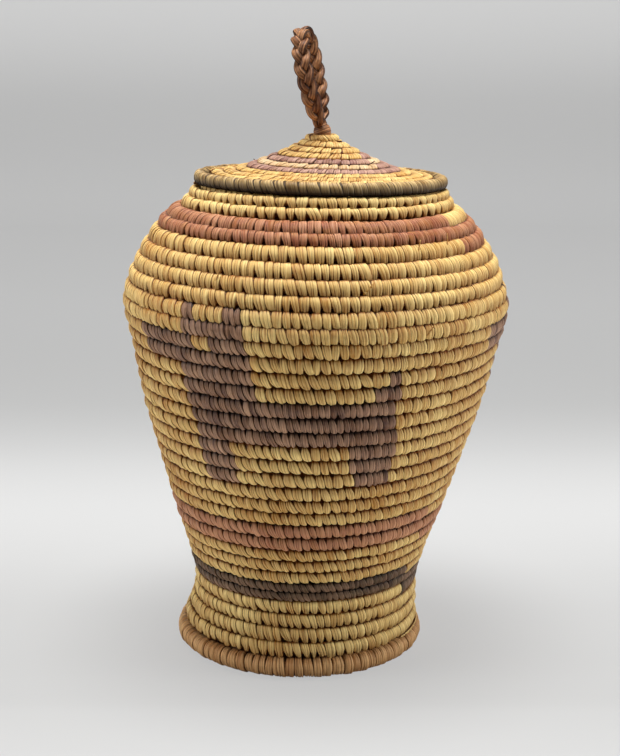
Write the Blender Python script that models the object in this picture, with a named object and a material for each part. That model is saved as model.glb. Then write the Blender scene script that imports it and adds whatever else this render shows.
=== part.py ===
"""A coiled sweetgrass basket with a lid and a plaited loop handle.

The wall is one long grass bundle, wound from the foot to the mouth as a rising spiral that turns
anticlockwise when seen from above. Its binding changes colour at one seam, a little to the right of
the front, so each coloured band is a slice of the same spiral that holds whole turns.
A flat spiral makes the base, and a third one makes the lid, whose roll sits over the mouth and rests
on a coil sewn just inside it. The handle is a three-strand plait bent into a finger loop, and it flops
from side to side about the knot that fills the eye of the lid.

Units are metres and +Z is up. The origin is on the floor, below the middle of the belly.
"""

import math

import bmesh
import bpy
import numpy as np
from mathutils import Matrix, Vector

# Clearances
SEAT_GAP = 0.0003
COIL_GAP = 0.0006
EYE_GAP = 0.0004

# Foot: a thick roll with a flat underside
FOOT_ROLL_RADIUS = 0.0062
FOOT_ROLL_OUTER_RADIUS = 0.0772
FOOT_COIL_LIFT = 0.0013

# Base: a flat spiral round a starting knot
BASE_KNOT_RADIUS = 0.0042
BASE_KNOT_HEIGHT = 0.0066
BASE_UNDERSIDE = 0.0020
BASE_TURNS = 7

# Wall: the height of one row in each band
FOOT_ROW = 0.0084
BROWN_ROW = 0.0060
LOWER_ROW = 0.0077
LOWER_ROSE_ROW = 0.00865
MIDDLE_ROW = 0.0083
FIGURE_ROW = 0.0089
UPPER_ROW = 0.0082
SHOULDER_ROW = 0.0061
NECK_ROW = 0.0050

# Wall: outer radii. The wall starts a step inside the foot roll, and the neck spreads from the mouth
FOOT_STEP = 0.0032
FOOT_TOP_RADIUS = FOOT_ROLL_OUTER_RADIUS - FOOT_STEP
WAIST_RADIUS = 0.0697
BELLY_RADIUS = 0.1172
NECK_SPREAD = 0.0058
MOUTH_RADIUS = 0.0760
NECK_RADIUS = MOUTH_RADIUS + NECK_SPREAD

# Wall: rows counted up from the foot roll
WAIST_ROW = 3
BELLY_ROW = 24.4
NECK_BOTTOM_ROW = 32

# How far the outline has swelled at a row: foot to waist, waist to belly, and belly to neck
FOOT_SHARES = ((1.5, 0.75),)
FLARE_SHARES = ((6, 0.083), (10, 0.303), (14, 0.519), (18, 0.735), (22, 0.900))
SHOULDER_SHARES = ((26, 0.096), (28, 0.284), (30, 0.594), (31, 0.734))

# Lid seat: a coil sewn inside the neck
LID_SEAT_RADIUS = 0.0030

# Lid: a rim roll round a flat-coned spiral, a little inside the mouth's outer edge and just above it
LID_ROLL_RADIUS = 0.0039
LID_ROLL_INSET = 0.0003
LID_ROLL_LIFT = 0.00350345
LID_RISE = 0.0203
LID_EDGE_LIFT = 0.0036
LID_CURVE_POWER = 1.5
LID_CROWN_ROW = 0.0060
LID_INNER_MAUVE_ROW = 0.0060
LID_PALE_ROW = 0.0056
LID_OUTER_MAUVE_ROW = 0.0065
LID_OUTER_ROW_AIM = 0.0073

# Eye of the lid, and the knot that turns in it
EYE_RING_RADIUS = 0.0028
EYE_RING_CENTRE_RADIUS = 0.0076
EYE_RING_LIFT = 0.0027
HANDLE_KNOT_RADIUS = 0.0056

# Handle: the plait and its loop
STRAND_RADIUS = 0.0012
PLAIT_HALF_WIDTH = 0.0030
PLAIT_HALF_DEPTH = 0.0022
PLAIT_PERIOD = 0.0360
PLAIT_ROOT_LENGTH = 0.0120
LOOP_HEIGHT = 0.0585
LOOP_HALF_WIDTH = 0.0150
PLAIT_ROOT_SHARE = 0.9
PLAIT_OPENING_POWER = 0.7
LOOP_YAW = math.radians(-13)
LOOP_LEAN = math.radians(-12)

# How the handmade basket has settled: its lean, the slip of its foot to the left, and the fall of its
# rows to the right, which eases towards the mouth, and to the back
LEAN_SHARE = 0.0365
FOOT_SLIP = 0.0038
FOOT_SLIP_HEIGHT = 0.0450
ROW_TILT_SHARE = 0.036
TILT_EASE_SHARE = 0.35
TILT_EASE_HEIGHT = 0.0260
FOOT_TILT_SHARE = 0.035
FOOT_TILT_HEIGHT = 0.020
ROW_BANK_SHARE = 0.035
ROW_BANK_POWER = 10

# Facets, and the steps that the tails of the coils run on for
LOOP_STEPS = 24
BASE_STEPS = 16
EYE_STEPS = 16
PLAIT_STEPS = 12
TAIL_STEPS = 14
BASE_TAIL_STEPS = 10
ROLL_SIDES = 10
TUBE_SIDES = 6
BASE_KNOT_RINGS = 6
HANDLE_KNOT_RINGS = 10
LOOP_SAMPLES = 400
CLOSE_STEPS = 5
SHARP_ANGLE = math.radians(50)
SIDE_ANGLE = 2 * math.pi / TUBE_SIDES
FLAT_SHARE = math.cos(SIDE_ANGLE / 2)

# Angles: the front faces -Y, and the seam is past it by this share of a turn
FRONT = -math.pi / 2
SEAM_SHARE = 57 / 360
FIRST_TURN = SEAM_SHARE - 0.5

# Bands from the foot up and from the eye of the lid out: node name, turns, row size, colour
WALL_BANDS = (
    ("foot_coil", 4, FOOT_ROW, "straw"),
    ("brown_band_coil", 2, BROWN_ROW, "brown"),
    ("lower_wall_coil", 3, LOWER_ROW, "straw"),
    ("lower_rose_band_coil", 2, LOWER_ROSE_ROW, "rose"),
    ("middle_wall_coil", 3, MIDDLE_ROW, "straw"),
    ("figure_legs_coil", 4, FIGURE_ROW, "plum"),
    ("figure_body_coil", 4, FIGURE_ROW, "plum"),
    ("figure_head_coil", 4, FIGURE_ROW, "plum"),
    ("upper_wall_coil", 4, UPPER_ROW, "straw"),
    ("shoulder_rose_band_coil", 2, SHOULDER_ROW, "rose"),
    ("neck_coil", 2, NECK_ROW, "straw"),
)
LID_EYE_RADIUS = EYE_RING_CENTRE_RADIUS + EYE_RING_RADIUS + SEAT_GAP
LID_INNER_SIZE = 2 * LID_CROWN_ROW + 2 * LID_INNER_MAUVE_ROW + LID_PALE_ROW + 2 * LID_OUTER_MAUVE_ROW
LID_ROLL_OUTER_RADIUS = MOUTH_RADIUS - LID_ROLL_INSET
LID_OUTER_SIZE = LID_ROLL_OUTER_RADIUS - 2 * LID_ROLL_RADIUS - SEAT_GAP - LID_EYE_RADIUS - LID_INNER_SIZE
LID_OUTER_TURNS = max(round(LID_OUTER_SIZE / LID_OUTER_ROW_AIM), 1)
LID_OUTER_ROW = LID_OUTER_SIZE / LID_OUTER_TURNS
LID_BANDS = (
    ("lid_crown_coil", 2, LID_CROWN_ROW, "straw"),
    ("lid_inner_mauve_coil", 2, LID_INNER_MAUVE_ROW, "mauve"),
    ("lid_pale_coil", 1, LID_PALE_ROW, "cream"),
    ("lid_outer_mauve_coil", 2, LID_OUTER_MAUVE_ROW, "mauve"),
    ("lid_outer_coil", LID_OUTER_TURNS, LID_OUTER_ROW, "straw"),
)

# Colours as sRGB hex, and roughness
COLOURS = {
    "straw": ("#CBA463", 0.62),
    "cream": ("#D9C3A0", 0.66),
    "rose": ("#B0725F", 0.66),
    "plum": ("#8A6658", 0.68),
    "mauve": ("#8E6E72", 0.68),
    "brown": ("#5F4E3E", 0.68),
    "olive": ("#8F7A4C", 0.60),
    "foot tan": ("#BE9A66", 0.64),
    "reed brown": ("#94603F", 0.60),
}

WALL_TURNS = sum(band[1] for band in WALL_BANDS)
LID_TURNS = sum(band[1] for band in LID_BANDS)


def clear_scene():
    for thing in list(bpy.data.objects):
        bpy.data.objects.remove(thing, do_unlink=True)


def linear(hex_colour):
    """An sRGB hex colour as linear red, green, blue and alpha."""
    channels = [int(hex_colour[i:i + 2], 16) / 255 for i in (1, 3, 5)]
    return [c / 12.92 if c <= 0.04045 else ((c + 0.055) / 1.055) ** 2.4 for c in channels] + [1]


def make_materials():
    made = {}
    for name, (colour, roughness) in COLOURS.items():
        material = bpy.data.materials.new(name)
        material.use_nodes = True
        shader = material.node_tree.nodes["Principled BSDF"]
        shader.inputs["Base Color"].default_value = linear(colour)
        shader.inputs["Roughness"].default_value = roughness
        shader.inputs["Metallic"].default_value = 0
        material.diffuse_color = linear(colour)
        made[name] = material
    return made


def smooth_between(stations, place):
    """The value at a place on a smooth curve through (place, value) stations that never overshoots."""
    places, values = zip(*stations)
    place = min(max(place, places[0]), places[-1])
    steps = [b - a for a, b in zip(places, places[1:])]
    slopes = [(b - a) / step for a, b, step in zip(values, values[1:], steps)]
    tangents = [slopes[0]]
    for before, after in zip(slopes, slopes[1:]):
        same_way = before * after > 0
        tangents.append(2 * before * after / (before + after) if same_way else 0)
    tangents.append(slopes[-1])
    i = max(k for k in range(len(steps)) if places[k] <= place)
    t = (place - places[i]) / steps[i]
    return (values[i] * (1 + 2 * t) * (1 - t) ** 2
            + tangents[i] * steps[i] * t * (1 - t) ** 2
            + values[i + 1] * t * t * (3 - 2 * t)
            + tangents[i + 1] * steps[i] * t * t * (t - 1))


def rows_size(bands, row):
    """The summed size of the rows before a row number, which may be a fraction."""
    total = 0
    for name, turns, size, colour in bands:
        total += size * min(max(row, 0), turns)
        row -= turns
    return total


FOOT_ROLL_HALF_HEIGHT = FOOT_ROLL_RADIUS * math.cos(math.pi / ROLL_SIDES)
FOOT_ROLL_CENTRE = Vector((FOOT_ROLL_OUTER_RADIUS - FOOT_ROLL_RADIUS, FOOT_ROLL_HALF_HEIGHT))
FOOT_TOP_HEIGHT = FOOT_ROLL_CENTRE.y + FOOT_ROLL_RADIUS + FOOT_COIL_LIFT
BELLY_HEIGHT = FOOT_TOP_HEIGHT + rows_size(WALL_BANDS, BELLY_ROW)
MOUTH_HEIGHT = FOOT_TOP_HEIGHT + rows_size(WALL_BANDS, WALL_TURNS)
LID_ROLL_HEIGHT = MOUTH_HEIGHT + LID_ROLL_LIFT


def share_stations(shares, start, end):
    return [(row, start + (end - start) * share) for row, share in shares]


WALL_OUTLINE = (
    [(0, FOOT_TOP_RADIUS)]
    + share_stations(FOOT_SHARES, FOOT_TOP_RADIUS, WAIST_RADIUS)
    + [(WAIST_ROW, WAIST_RADIUS)]
    + share_stations(FLARE_SHARES, WAIST_RADIUS, BELLY_RADIUS)
    + [(BELLY_ROW, BELLY_RADIUS)]
    + share_stations(SHOULDER_SHARES, BELLY_RADIUS, NECK_RADIUS)
    + [(NECK_BOTTOM_ROW, NECK_RADIUS), (WALL_TURNS, MOUTH_RADIUS)]
)


def wall_edge(row):
    """The wall's outline in its half plane, (radius, height), at a row counted from the foot roll."""
    row = min(max(row, 0), WALL_TURNS)
    return Vector((smooth_between(WALL_OUTLINE, row), FOOT_TOP_HEIGHT + rows_size(WALL_BANDS, row)))


LID_TOP_EDGE = LID_ROLL_HEIGHT + LID_EDGE_LIFT


def lid_edge(row):
    """The lid's top surface, (radius, height), at a row counted from its eye."""
    row = min(max(row, 0), LID_TURNS)
    slope_share = (1 - row / LID_TURNS) ** LID_CURVE_POWER
    return Vector((LID_EYE_RADIUS + rows_size(LID_BANDS, row), LID_TOP_EDGE + LID_RISE * slope_share))


BASE_START_RADIUS = BASE_KNOT_RADIUS + SEAT_GAP / 2
BASE_ROW = (FOOT_ROLL_CENTRE.x - FOOT_ROLL_RADIUS - BASE_START_RADIUS) / BASE_TURNS


def base_edge(row):
    """The base's underside, (radius, height), at a row counted from its knot."""
    row = min(max(row, 0), BASE_TURNS)
    return Vector((BASE_START_RADIUS + BASE_ROW * row, BASE_UNDERSIDE))


def settle(radius, azimuth, height):
    """Where a point of the true round shape lies once the basket has leaned and its rows have sagged."""
    x = radius * math.cos(azimuth)
    y = radius * math.sin(azimuth)
    share = min(height / MOUTH_HEIGHT, 1)
    foot_share = (height / FOOT_TILT_HEIGHT * math.exp(1 - height / FOOT_TILT_HEIGHT)) ** 2
    near_mouth = min(max(1 - (MOUTH_HEIGHT - height) / TILT_EASE_HEIGHT, 0), 1)
    eased = 1 - TILT_EASE_SHARE * near_mouth ** 2 * (3 - 2 * near_mouth)
    fall_right = (ROW_TILT_SHARE * share * eased + FOOT_TILT_SHARE * foot_share) * x
    fall_back = ROW_BANK_SHARE * share ** ROW_BANK_POWER * y
    slip = FOOT_SLIP * max(1 - height / FOOT_SLIP_HEIGHT, 0) ** 2
    return Vector((x + LEAN_SHARE * (height - BELLY_HEIGHT) - slip, y, height - fall_right - fall_back))


def azimuth_of(turn):
    """Row n crosses the front at turn n + 1/2."""
    return FRONT + (turn - 0.5) * 2 * math.pi


class Coil:
    """A spiral bundle laid along an outline. Side is +1 where it lies left of the outline, -1 right."""

    def __init__(self, edge, side, first, last, steps):
        self.edge = edge
        self.side = side
        self.first = first
        self.last = last
        self.steps = steps

    def across(self, turn):
        return self.edge(turn + 0.5) - self.edge(turn - 0.5)

    def plane_centre(self, turn):
        """The bundle's centre in its half plane, half a row inside the outline."""
        across = self.across(turn) / 2
        return self.edge(turn - 0.5) + across + Vector((-across.y, across.x)) * self.side

    def centre(self, turn):
        middle = self.plane_centre(turn)
        return settle(middle.x, azimuth_of(turn), middle.y)

    def row_room(self, turn):
        """The width of this turn's own row once settled."""
        low, high = self.edge(turn - 0.5), self.edge(turn + 0.5)
        angle = azimuth_of(turn)
        return (settle(high.x, angle, high.y) - settle(low.x, angle, low.y)).length

    def roll(self, turn):
        """How far the six-sided bundle is rolled, so that flat sides face the turns beside it."""
        across = self.across(turn)
        return math.atan2(across.x, across.y)

    def reach_share(self, turn, other):
        """How far the six-sided bundle reaches towards another turn, as a share of its radius."""
        way = self.plane_centre(other) - self.plane_centre(turn)
        off_flat = (math.atan2(way.x, way.y) - self.roll(turn)) % SIDE_ANGLE
        return math.cos(SIDE_ANGLE / 2 - min(off_flat, SIDE_ANGLE - off_flat))

    def radius(self, turn):
        """The largest radius that leaves the gap to the turn below, the turn above and its own row."""
        facet_share = math.cos(math.pi / self.steps)
        choices = [(self.row_room(turn) * facet_share - COIL_GAP) / 2 / FLAT_SHARE]
        for other in (turn - 1, turn + 1):
            if self.first <= other <= self.last:
                apart = (self.centre(other) - self.centre(turn)).length * facet_share
                choices.append((apart - COIL_GAP) / 2 / self.reach_share(turn, other))
        return min(choices)

    def slice(self, start, end):
        """Centres and radii from start to end. Both ends fall in mid facet, so cut ends face squarely."""
        count = round((end - start) * self.steps)
        turns = [start + (i + 0.5) / self.steps for i in range(-1, count + 1)]
        points = [self.centre(turn) for turn in turns]
        kept = [min(max(turn, self.first), self.last) for turn in turns]
        radii = [self.radius(turn) for turn in kept]
        rolls = [self.roll(turn) for turn in kept]
        head = (points[1] - points[0]).normalized() * SEAT_GAP / 2
        tail = (points[-1] - points[-2]).normalized() * SEAT_GAP / 2
        points[0] = (points[0] + points[1]) / 2 + head
        points[-1] = (points[-1] + points[-2]) / 2 - tail
        return points, radii, rolls


def least_gap(points, radii, apart):
    """The least clearance of a tube to its own later turns, flat side to flat side, at close steps."""
    places = np.arange(0, len(points) - 1 + 1 / CLOSE_STEPS, 1 / CLOSE_STEPS)
    axis = np.array([[np.interp(places, range(len(points)), [p[k] for p in points])] for k in range(3)])
    axis = axis.reshape(3, -1).T
    thick = np.interp(places, range(len(radii)), radii) * FLAT_SHARE
    least = math.inf
    for i in range(len(places) - apart * CLOSE_STEPS):
        j = i + apart * CLOSE_STEPS
        gaps = np.linalg.norm(axis[j:] - axis[i], axis=1) - thick[j:] - thick[i]
        least = min(least, gaps.min())
    return least


def tube(name, points, radii, material, parent=None, closed=False, rolls=None):
    """A tube along the points, thicker and thinner by its radii. Points are in the world."""
    curve = bpy.data.curves.new(name, "CURVE")
    curve.dimensions = "3D"
    curve.twist_mode = "Z_UP"
    curve.bevel_depth = max(radii)
    curve.bevel_resolution = 1
    curve.use_fill_caps = not closed
    spline = curve.splines.new("POLY")
    spline.points.add(len(points) - 1)
    spline.use_cyclic_u = closed
    origin = parent.matrix_world.inverted() if parent else Matrix.Identity(4)
    for knot, point, radius, roll in zip(spline.points, points, radii, rolls or [0] * len(points)):
        knot.co = (*(origin @ point), 1)
        knot.radius = radius / curve.bevel_depth
        knot.tilt = roll
    curve.materials.append(material)
    made = bpy.data.objects.new(name, curve)
    made.parent = parent
    bpy.context.collection.objects.link(made)
    return made


def mesh_object(name, bm, material, parent=None):
    mesh = bpy.data.meshes.new(name)
    bmesh.ops.recalc_face_normals(bm, faces=bm.faces)
    bm.to_mesh(mesh)
    bm.free()
    mesh.shade_smooth()
    mesh.set_sharp_from_angle(angle=SHARP_ANGLE)
    mesh.materials.append(material)
    made = bpy.data.objects.new(name, mesh)
    made.parent = parent
    bpy.context.collection.objects.link(made)
    return made


def ring(name, centre, thickness, steps, material, parent=None):
    """A closed hoop of bundle. Its facets line up with those of the coils beside it."""
    turns = [FIRST_TURN + (i + 0.5) / steps for i in range(steps)]
    points = [settle(centre.x, azimuth_of(turn), centre.y) for turn in turns]
    return tube(name, points, [thickness] * steps, material, parent, closed=True)


def axis_empty(name, location, turned=Matrix.Identity(4)):
    empty = bpy.data.objects.new(name, None)
    empty.matrix_world = Matrix.Translation(location) @ turned
    bpy.context.collection.objects.link(empty)
    bpy.context.view_layer.update()
    return empty


def make_foot_roll(materials):
    """The thick roll that the basket stands on, turned from a section with a flat side underneath."""
    bm = bmesh.new()
    upright = Matrix.Rotation(math.pi / 2, 4, "X") @ Matrix.Rotation(math.pi / ROLL_SIDES, 4, "Z")
    place = Matrix.Translation((FOOT_ROLL_CENTRE.x, 0, FOOT_ROLL_CENTRE.y)) @ upright
    bmesh.ops.create_circle(bm, segments=ROLL_SIDES, radius=FOOT_ROLL_RADIUS, matrix=place)
    start = azimuth_of(FIRST_TURN + 0.5 / LOOP_STEPS)
    bmesh.ops.rotate(bm, verts=bm.verts, cent=(0, 0, 0), matrix=Matrix.Rotation(start, 3, "Z"))
    bmesh.ops.spin(bm, geom=bm.edges[:] + bm.verts[:], cent=(0, 0, 0), axis=(0, 0, 1),
                   angle=2 * math.pi, steps=LOOP_STEPS, use_merge=True)
    for vert in bm.verts:
        vert.co = settle(vert.co.xy.length, math.atan2(vert.co.y, vert.co.x), vert.co.z)
    return mesh_object("foot_roll", bm, materials["foot tan"])


def make_base(materials):
    """The flat spiral inside the foot roll, round the knot that it was started from."""
    last = FIRST_TURN + BASE_TURNS + BASE_TAIL_STEPS / BASE_STEPS
    coil = Coil(base_edge, 1, FIRST_TURN, last, BASE_STEPS)
    points, radii, rolls = coil.slice(FIRST_TURN, last)
    tube("base_coil", points, radii, materials["straw"], rolls=rolls)
    report_gap("base_coil", points, radii, BASE_STEPS)

    bm = bmesh.new()
    bmesh.ops.create_uvsphere(bm, u_segments=BASE_STEPS, v_segments=BASE_KNOT_RINGS,
                              radius=BASE_KNOT_RADIUS)
    flatten = BASE_KNOT_HEIGHT / (2 * BASE_KNOT_RADIUS)
    bmesh.ops.scale(bm, vec=(1, 1, flatten), verts=bm.verts)
    knot = mesh_object("base_start_knot", bm, materials["straw"])
    knot.location = settle(0, 0, BASE_UNDERSIDE + BASE_KNOT_HEIGHT / 2)


def report_gap(name, points, radii, steps):
    gap = least_gap(points, radii, steps - 1)
    print(f"{name}: least gap to itself {gap * 1000:.2f} mm")


def wind_bands(coil, bands, materials, parent=None):
    """Cut one coil into its coloured bands, each a slice of whole turns from seam to seam."""
    start = coil.first
    for name, turns, size, colour in bands:
        last_band = name == bands[-1][0]
        end = coil.last if last_band else start + turns
        points, radii, rolls = coil.slice(start, end)
        tube(name, points, radii, materials[colour], parent, rolls=rolls)
        report_gap(name, points, radii, coil.steps)
        start = end


def make_wall(materials):
    """The wall's coil starts as a thin tail on the foot roll and ends as one at the mouth."""
    last = FIRST_TURN + WALL_TURNS + TAIL_STEPS / LOOP_STEPS
    coil = Coil(wall_edge, 1, FIRST_TURN, last, LOOP_STEPS)
    wind_bands(coil, WALL_BANDS, materials)


def make_lid_seat(materials):
    """The coil sewn inside the neck, half under the lid's roll and half against the neck."""
    low, high = wall_edge(WALL_TURNS - 1), wall_edge(WALL_TURNS)
    neck_centre = (low.x + high.x - (high.y - low.y)) / 2
    neck_thickness = ((high - low).length - COIL_GAP) / 2 / FLAT_SHARE
    seat_radius = neck_centre - neck_thickness - LID_SEAT_RADIUS - SEAT_GAP
    roll_radius = LID_ROLL_OUTER_RADIUS - LID_ROLL_RADIUS
    reach = LID_ROLL_RADIUS + LID_SEAT_RADIUS + SEAT_GAP
    drop = math.sqrt(reach ** 2 - (seat_radius - roll_radius) ** 2)
    centre = Vector((seat_radius, LID_ROLL_HEIGHT - drop))
    ring("lid_seat_coil", centre, LID_SEAT_RADIUS, LOOP_STEPS, materials["straw"])


def make_lid(materials):
    """The lid: rim roll, coned spiral in five bands, and the ring that binds its eye."""
    lid = axis_empty("lid_slide_axis", settle(0, 0, LID_ROLL_HEIGHT))
    roll_centre = Vector((LID_ROLL_OUTER_RADIUS - LID_ROLL_RADIUS, LID_ROLL_HEIGHT))
    ring("lid_rim_roll", roll_centre, LID_ROLL_RADIUS, LOOP_STEPS, materials["olive"], lid)
    last = FIRST_TURN + LID_TURNS + TAIL_STEPS / LOOP_STEPS
    coil = Coil(lid_edge, -1, FIRST_TURN, last, LOOP_STEPS)
    wind_bands(coil, LID_BANDS, materials, lid)
    ring("lid_eye_ring", eye_ring_centre(), EYE_RING_RADIUS, EYE_STEPS, materials["straw"], lid)
    return lid


def eye_ring_centre():
    return Vector((EYE_RING_CENTRE_RADIUS, lid_edge(0).y + EYE_RING_LIFT - EYE_RING_RADIUS))


def knot_height():
    """The height at which the handle's knot sits in the eye ring."""
    reach = HANDLE_KNOT_RADIUS + EYE_RING_RADIUS + EYE_GAP
    return eye_ring_centre().y + math.sqrt(reach ** 2 - EYE_RING_CENTRE_RADIUS ** 2)


def loop_axis():
    """Points along the plait's axis in the loop's plane, (across, up), at even steps round a teardrop."""
    widest_share = 4 / (3 * math.sqrt(3))
    swell = LOOP_HALF_WIDTH / widest_share
    start = math.acos(1 - 2 * (HANDLE_KNOT_RADIUS + SEAT_GAP) / LOOP_HEIGHT)
    angles = np.linspace(start, 2 * math.pi - start, LOOP_SAMPLES)
    across = -swell * np.sin(angles) * np.sin(angles / 2)
    up = LOOP_HEIGHT * (1 - np.cos(angles)) / 2
    length = np.concatenate([[0], np.cumsum(np.hypot(np.diff(across), np.diff(up)))])
    count = round(length[-1] / PLAIT_PERIOD * PLAIT_STEPS)
    even = np.linspace(0, length[-1], count + 1)
    return np.interp(even, length, across), np.interp(even, length, up), even


def strand_points(number, placed):
    """One strand of the plait: it weaves once across while it goes twice in and out."""
    across, up, along = loop_axis()
    tangent = np.stack([np.gradient(across), np.gradient(up)])
    tangent /= np.linalg.norm(tangent, axis=0)
    normal = np.stack([-tangent[1], tangent[0]])
    from_end = np.minimum(along, along[-1] - along) / PLAIT_ROOT_LENGTH
    open_share = np.clip(from_end, 0, 1) ** PLAIT_OPENING_POWER
    width = PLAIT_HALF_WIDTH * (PLAIT_ROOT_SHARE + (1 - PLAIT_ROOT_SHARE) * open_share)
    phase = 2 * math.pi * (along / PLAIT_PERIOD + number / 3)
    sideways = width * np.sin(phase)
    inward = PLAIT_HALF_DEPTH * np.sin(2 * phase)
    points = []
    for i in range(len(along)):
        in_plane = (across[i] + inward[i] * normal[0, i], up[i] + inward[i] * normal[1, i])
        points.append(placed @ Vector((sideways[i], *in_plane)))
    return points


def least_between(tubes, radius):
    """The least clearance between different strands, measured on their axes at close steps."""
    fine = []
    for points in tubes:
        places = np.linspace(0, len(points) - 1, CLOSE_STEPS * len(points))
        known = range(len(points))
        fine.append(np.stack([np.interp(places, known, [p[k] for p in points]) for k in range(3)], 1))
    least = math.inf
    for a in range(len(fine)):
        for b in range(a + 1, len(fine)):
            apart = np.linalg.norm(fine[a][:, None] - fine[b][None], axis=2)
            least = min(least, apart.min() - 2 * radius)
    return least


def make_handle(materials):
    """The knot in the eye of the lid and the plaited loop above it, on the axis that it flops about."""
    turned = Matrix.Rotation(LOOP_YAW, 4, "Z") @ Matrix.Rotation(LOOP_LEAN, 4, "Y")
    handle = axis_empty("handle_hinge_axis", settle(0, 0, knot_height()), turned)
    bm = bmesh.new()
    bmesh.ops.create_uvsphere(bm, u_segments=EYE_STEPS, v_segments=HANDLE_KNOT_RINGS,
                              radius=HANDLE_KNOT_RADIUS)
    mesh_object("handle_knot", bm, materials["reed brown"], handle)
    strands = [strand_points(number, handle.matrix_world) for number in range(3)]
    for number, points in enumerate(strands, start=1):
        radii = [STRAND_RADIUS] * len(points)
        tube(f"handle_strand_{number}", points, radii, materials["reed brown"], handle)
    gap = least_between(strands, STRAND_RADIUS)
    print(f"handle strands: least gap between them {gap * 1000:.2f} mm")


def main():
    clear_scene()
    materials = make_materials()
    make_foot_roll(materials)
    make_base(materials)
    make_wall(materials)
    make_lid_seat(materials)
    make_lid(materials)
    make_handle(materials)
    print(f"mouth height {MOUTH_HEIGHT * 1000:.1f} mm, belly height {BELLY_HEIGHT * 1000:.1f} mm")


main()
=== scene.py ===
# %% [markdown]
# # A coiled basket with a lid and a plaited handle
#
# A coiled basket is one long bundle of grass, wound round and round and sewn to the row below with
# split strips of leaf. What the eye sees is the sewing: thousands of small rounded stitches, each
# narrow at its foot where the needle went between two stitches of the row below. So this lesson
# builds the stitches as real shape, row by row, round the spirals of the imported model, and leaves
# only the fine fibre lines to the materials.

# %% Load the fixed frame
import math

import bmesh
import bpy
import numpy as np
from mathutils import Matrix, Vector


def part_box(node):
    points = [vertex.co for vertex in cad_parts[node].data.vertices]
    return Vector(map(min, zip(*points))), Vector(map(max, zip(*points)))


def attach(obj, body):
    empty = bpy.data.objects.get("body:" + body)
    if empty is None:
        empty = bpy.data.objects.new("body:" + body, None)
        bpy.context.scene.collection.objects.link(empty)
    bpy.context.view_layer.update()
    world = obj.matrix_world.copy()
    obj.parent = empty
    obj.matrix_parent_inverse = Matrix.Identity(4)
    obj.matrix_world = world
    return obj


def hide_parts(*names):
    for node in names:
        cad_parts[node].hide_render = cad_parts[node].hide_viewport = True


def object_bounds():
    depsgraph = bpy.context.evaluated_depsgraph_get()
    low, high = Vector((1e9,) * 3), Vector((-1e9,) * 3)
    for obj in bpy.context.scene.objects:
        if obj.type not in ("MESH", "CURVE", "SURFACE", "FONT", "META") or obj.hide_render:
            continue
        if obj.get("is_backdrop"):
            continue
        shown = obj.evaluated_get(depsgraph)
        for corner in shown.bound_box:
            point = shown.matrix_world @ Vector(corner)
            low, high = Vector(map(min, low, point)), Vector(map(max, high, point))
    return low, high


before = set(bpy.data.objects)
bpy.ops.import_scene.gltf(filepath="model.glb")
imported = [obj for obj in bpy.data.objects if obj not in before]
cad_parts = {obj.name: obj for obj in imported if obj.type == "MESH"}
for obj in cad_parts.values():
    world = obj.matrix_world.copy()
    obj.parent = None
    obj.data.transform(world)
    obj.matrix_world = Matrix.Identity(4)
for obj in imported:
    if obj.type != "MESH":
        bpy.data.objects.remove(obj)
cad_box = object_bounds()

# %% [markdown]
# ## The camera
#
# The basket was photographed from a little above with a long lens. The image is 620 by 756 pixels,
# the vanishing lines give a focal length of 1600 pixels and a pitch of 13.85 degrees down, and the
# size of the finger loop gives the distance.

# %% Place the camera
FOCAL_PIXELS = 1600
IMAGE_HEIGHT_PIXELS = 756
SENSOR_MM = 36
CAMERA_PLACE = Vector((-0.0037, -0.960, 0.4032))
CAMERA_PITCH = math.radians(13.85)

camera_data = bpy.data.cameras.new("photo camera")
camera_data.sensor_width = SENSOR_MM
camera_data.lens = SENSOR_MM * FOCAL_PIXELS / IMAGE_HEIGHT_PIXELS
camera = bpy.data.objects.new("photo camera", camera_data)
camera.location = CAMERA_PLACE
camera.rotation_euler = (math.pi / 2 - CAMERA_PITCH, 0, 0)
bpy.context.collection.objects.link(camera)
bpy.context.scene.camera = camera
print(f"lens {camera_data.lens:.1f} mm, {-camera.location.y:.2f} m in front of the basket")

# %% [markdown]
# ## The spirals
#
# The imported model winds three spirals: the wall, the lid and the base. A stitch has to sit exactly
# on them, so their outlines are written again here: how far out the outline is at each row, and how
# high the rows are. A smooth curve runs through the stations without overshooting them.

# %% Outline of the wall, the lid and the base
FOOT_ROLL_RADIUS, FOOT_ROLL_OUTER_RADIUS, FOOT_COIL_LIFT = 0.0062, 0.0772, 0.0013
FOOT_ROLL_SIDES = 10
# Band, whole turns, size of a row in metres and dye.
WALL_BANDS = (
    ("foot_coil", 4, 0.0084, "straw"), ("brown_band_coil", 2, 0.0060, "brown"),
    ("lower_wall_coil", 3, 0.0077, "straw"), ("lower_rose_band_coil", 2, 0.00865, "rose"),
    ("middle_wall_coil", 3, 0.0083, "straw"), ("figure_legs_coil", 4, 0.0089, "straw"),
    ("figure_body_coil", 4, 0.0089, "straw"), ("figure_head_coil", 4, 0.0089, "straw"),
    ("upper_wall_coil", 4, 0.0082, "straw"), ("shoulder_rose_band_coil", 2, 0.0061, "rose"),
    ("neck_coil", 2, 0.0050, "straw"),
)
FOOT, WAIST, BELLY, NECK, MOUTH = 0.0740, 0.0697, 0.1172, 0.0818, 0.0760
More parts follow.
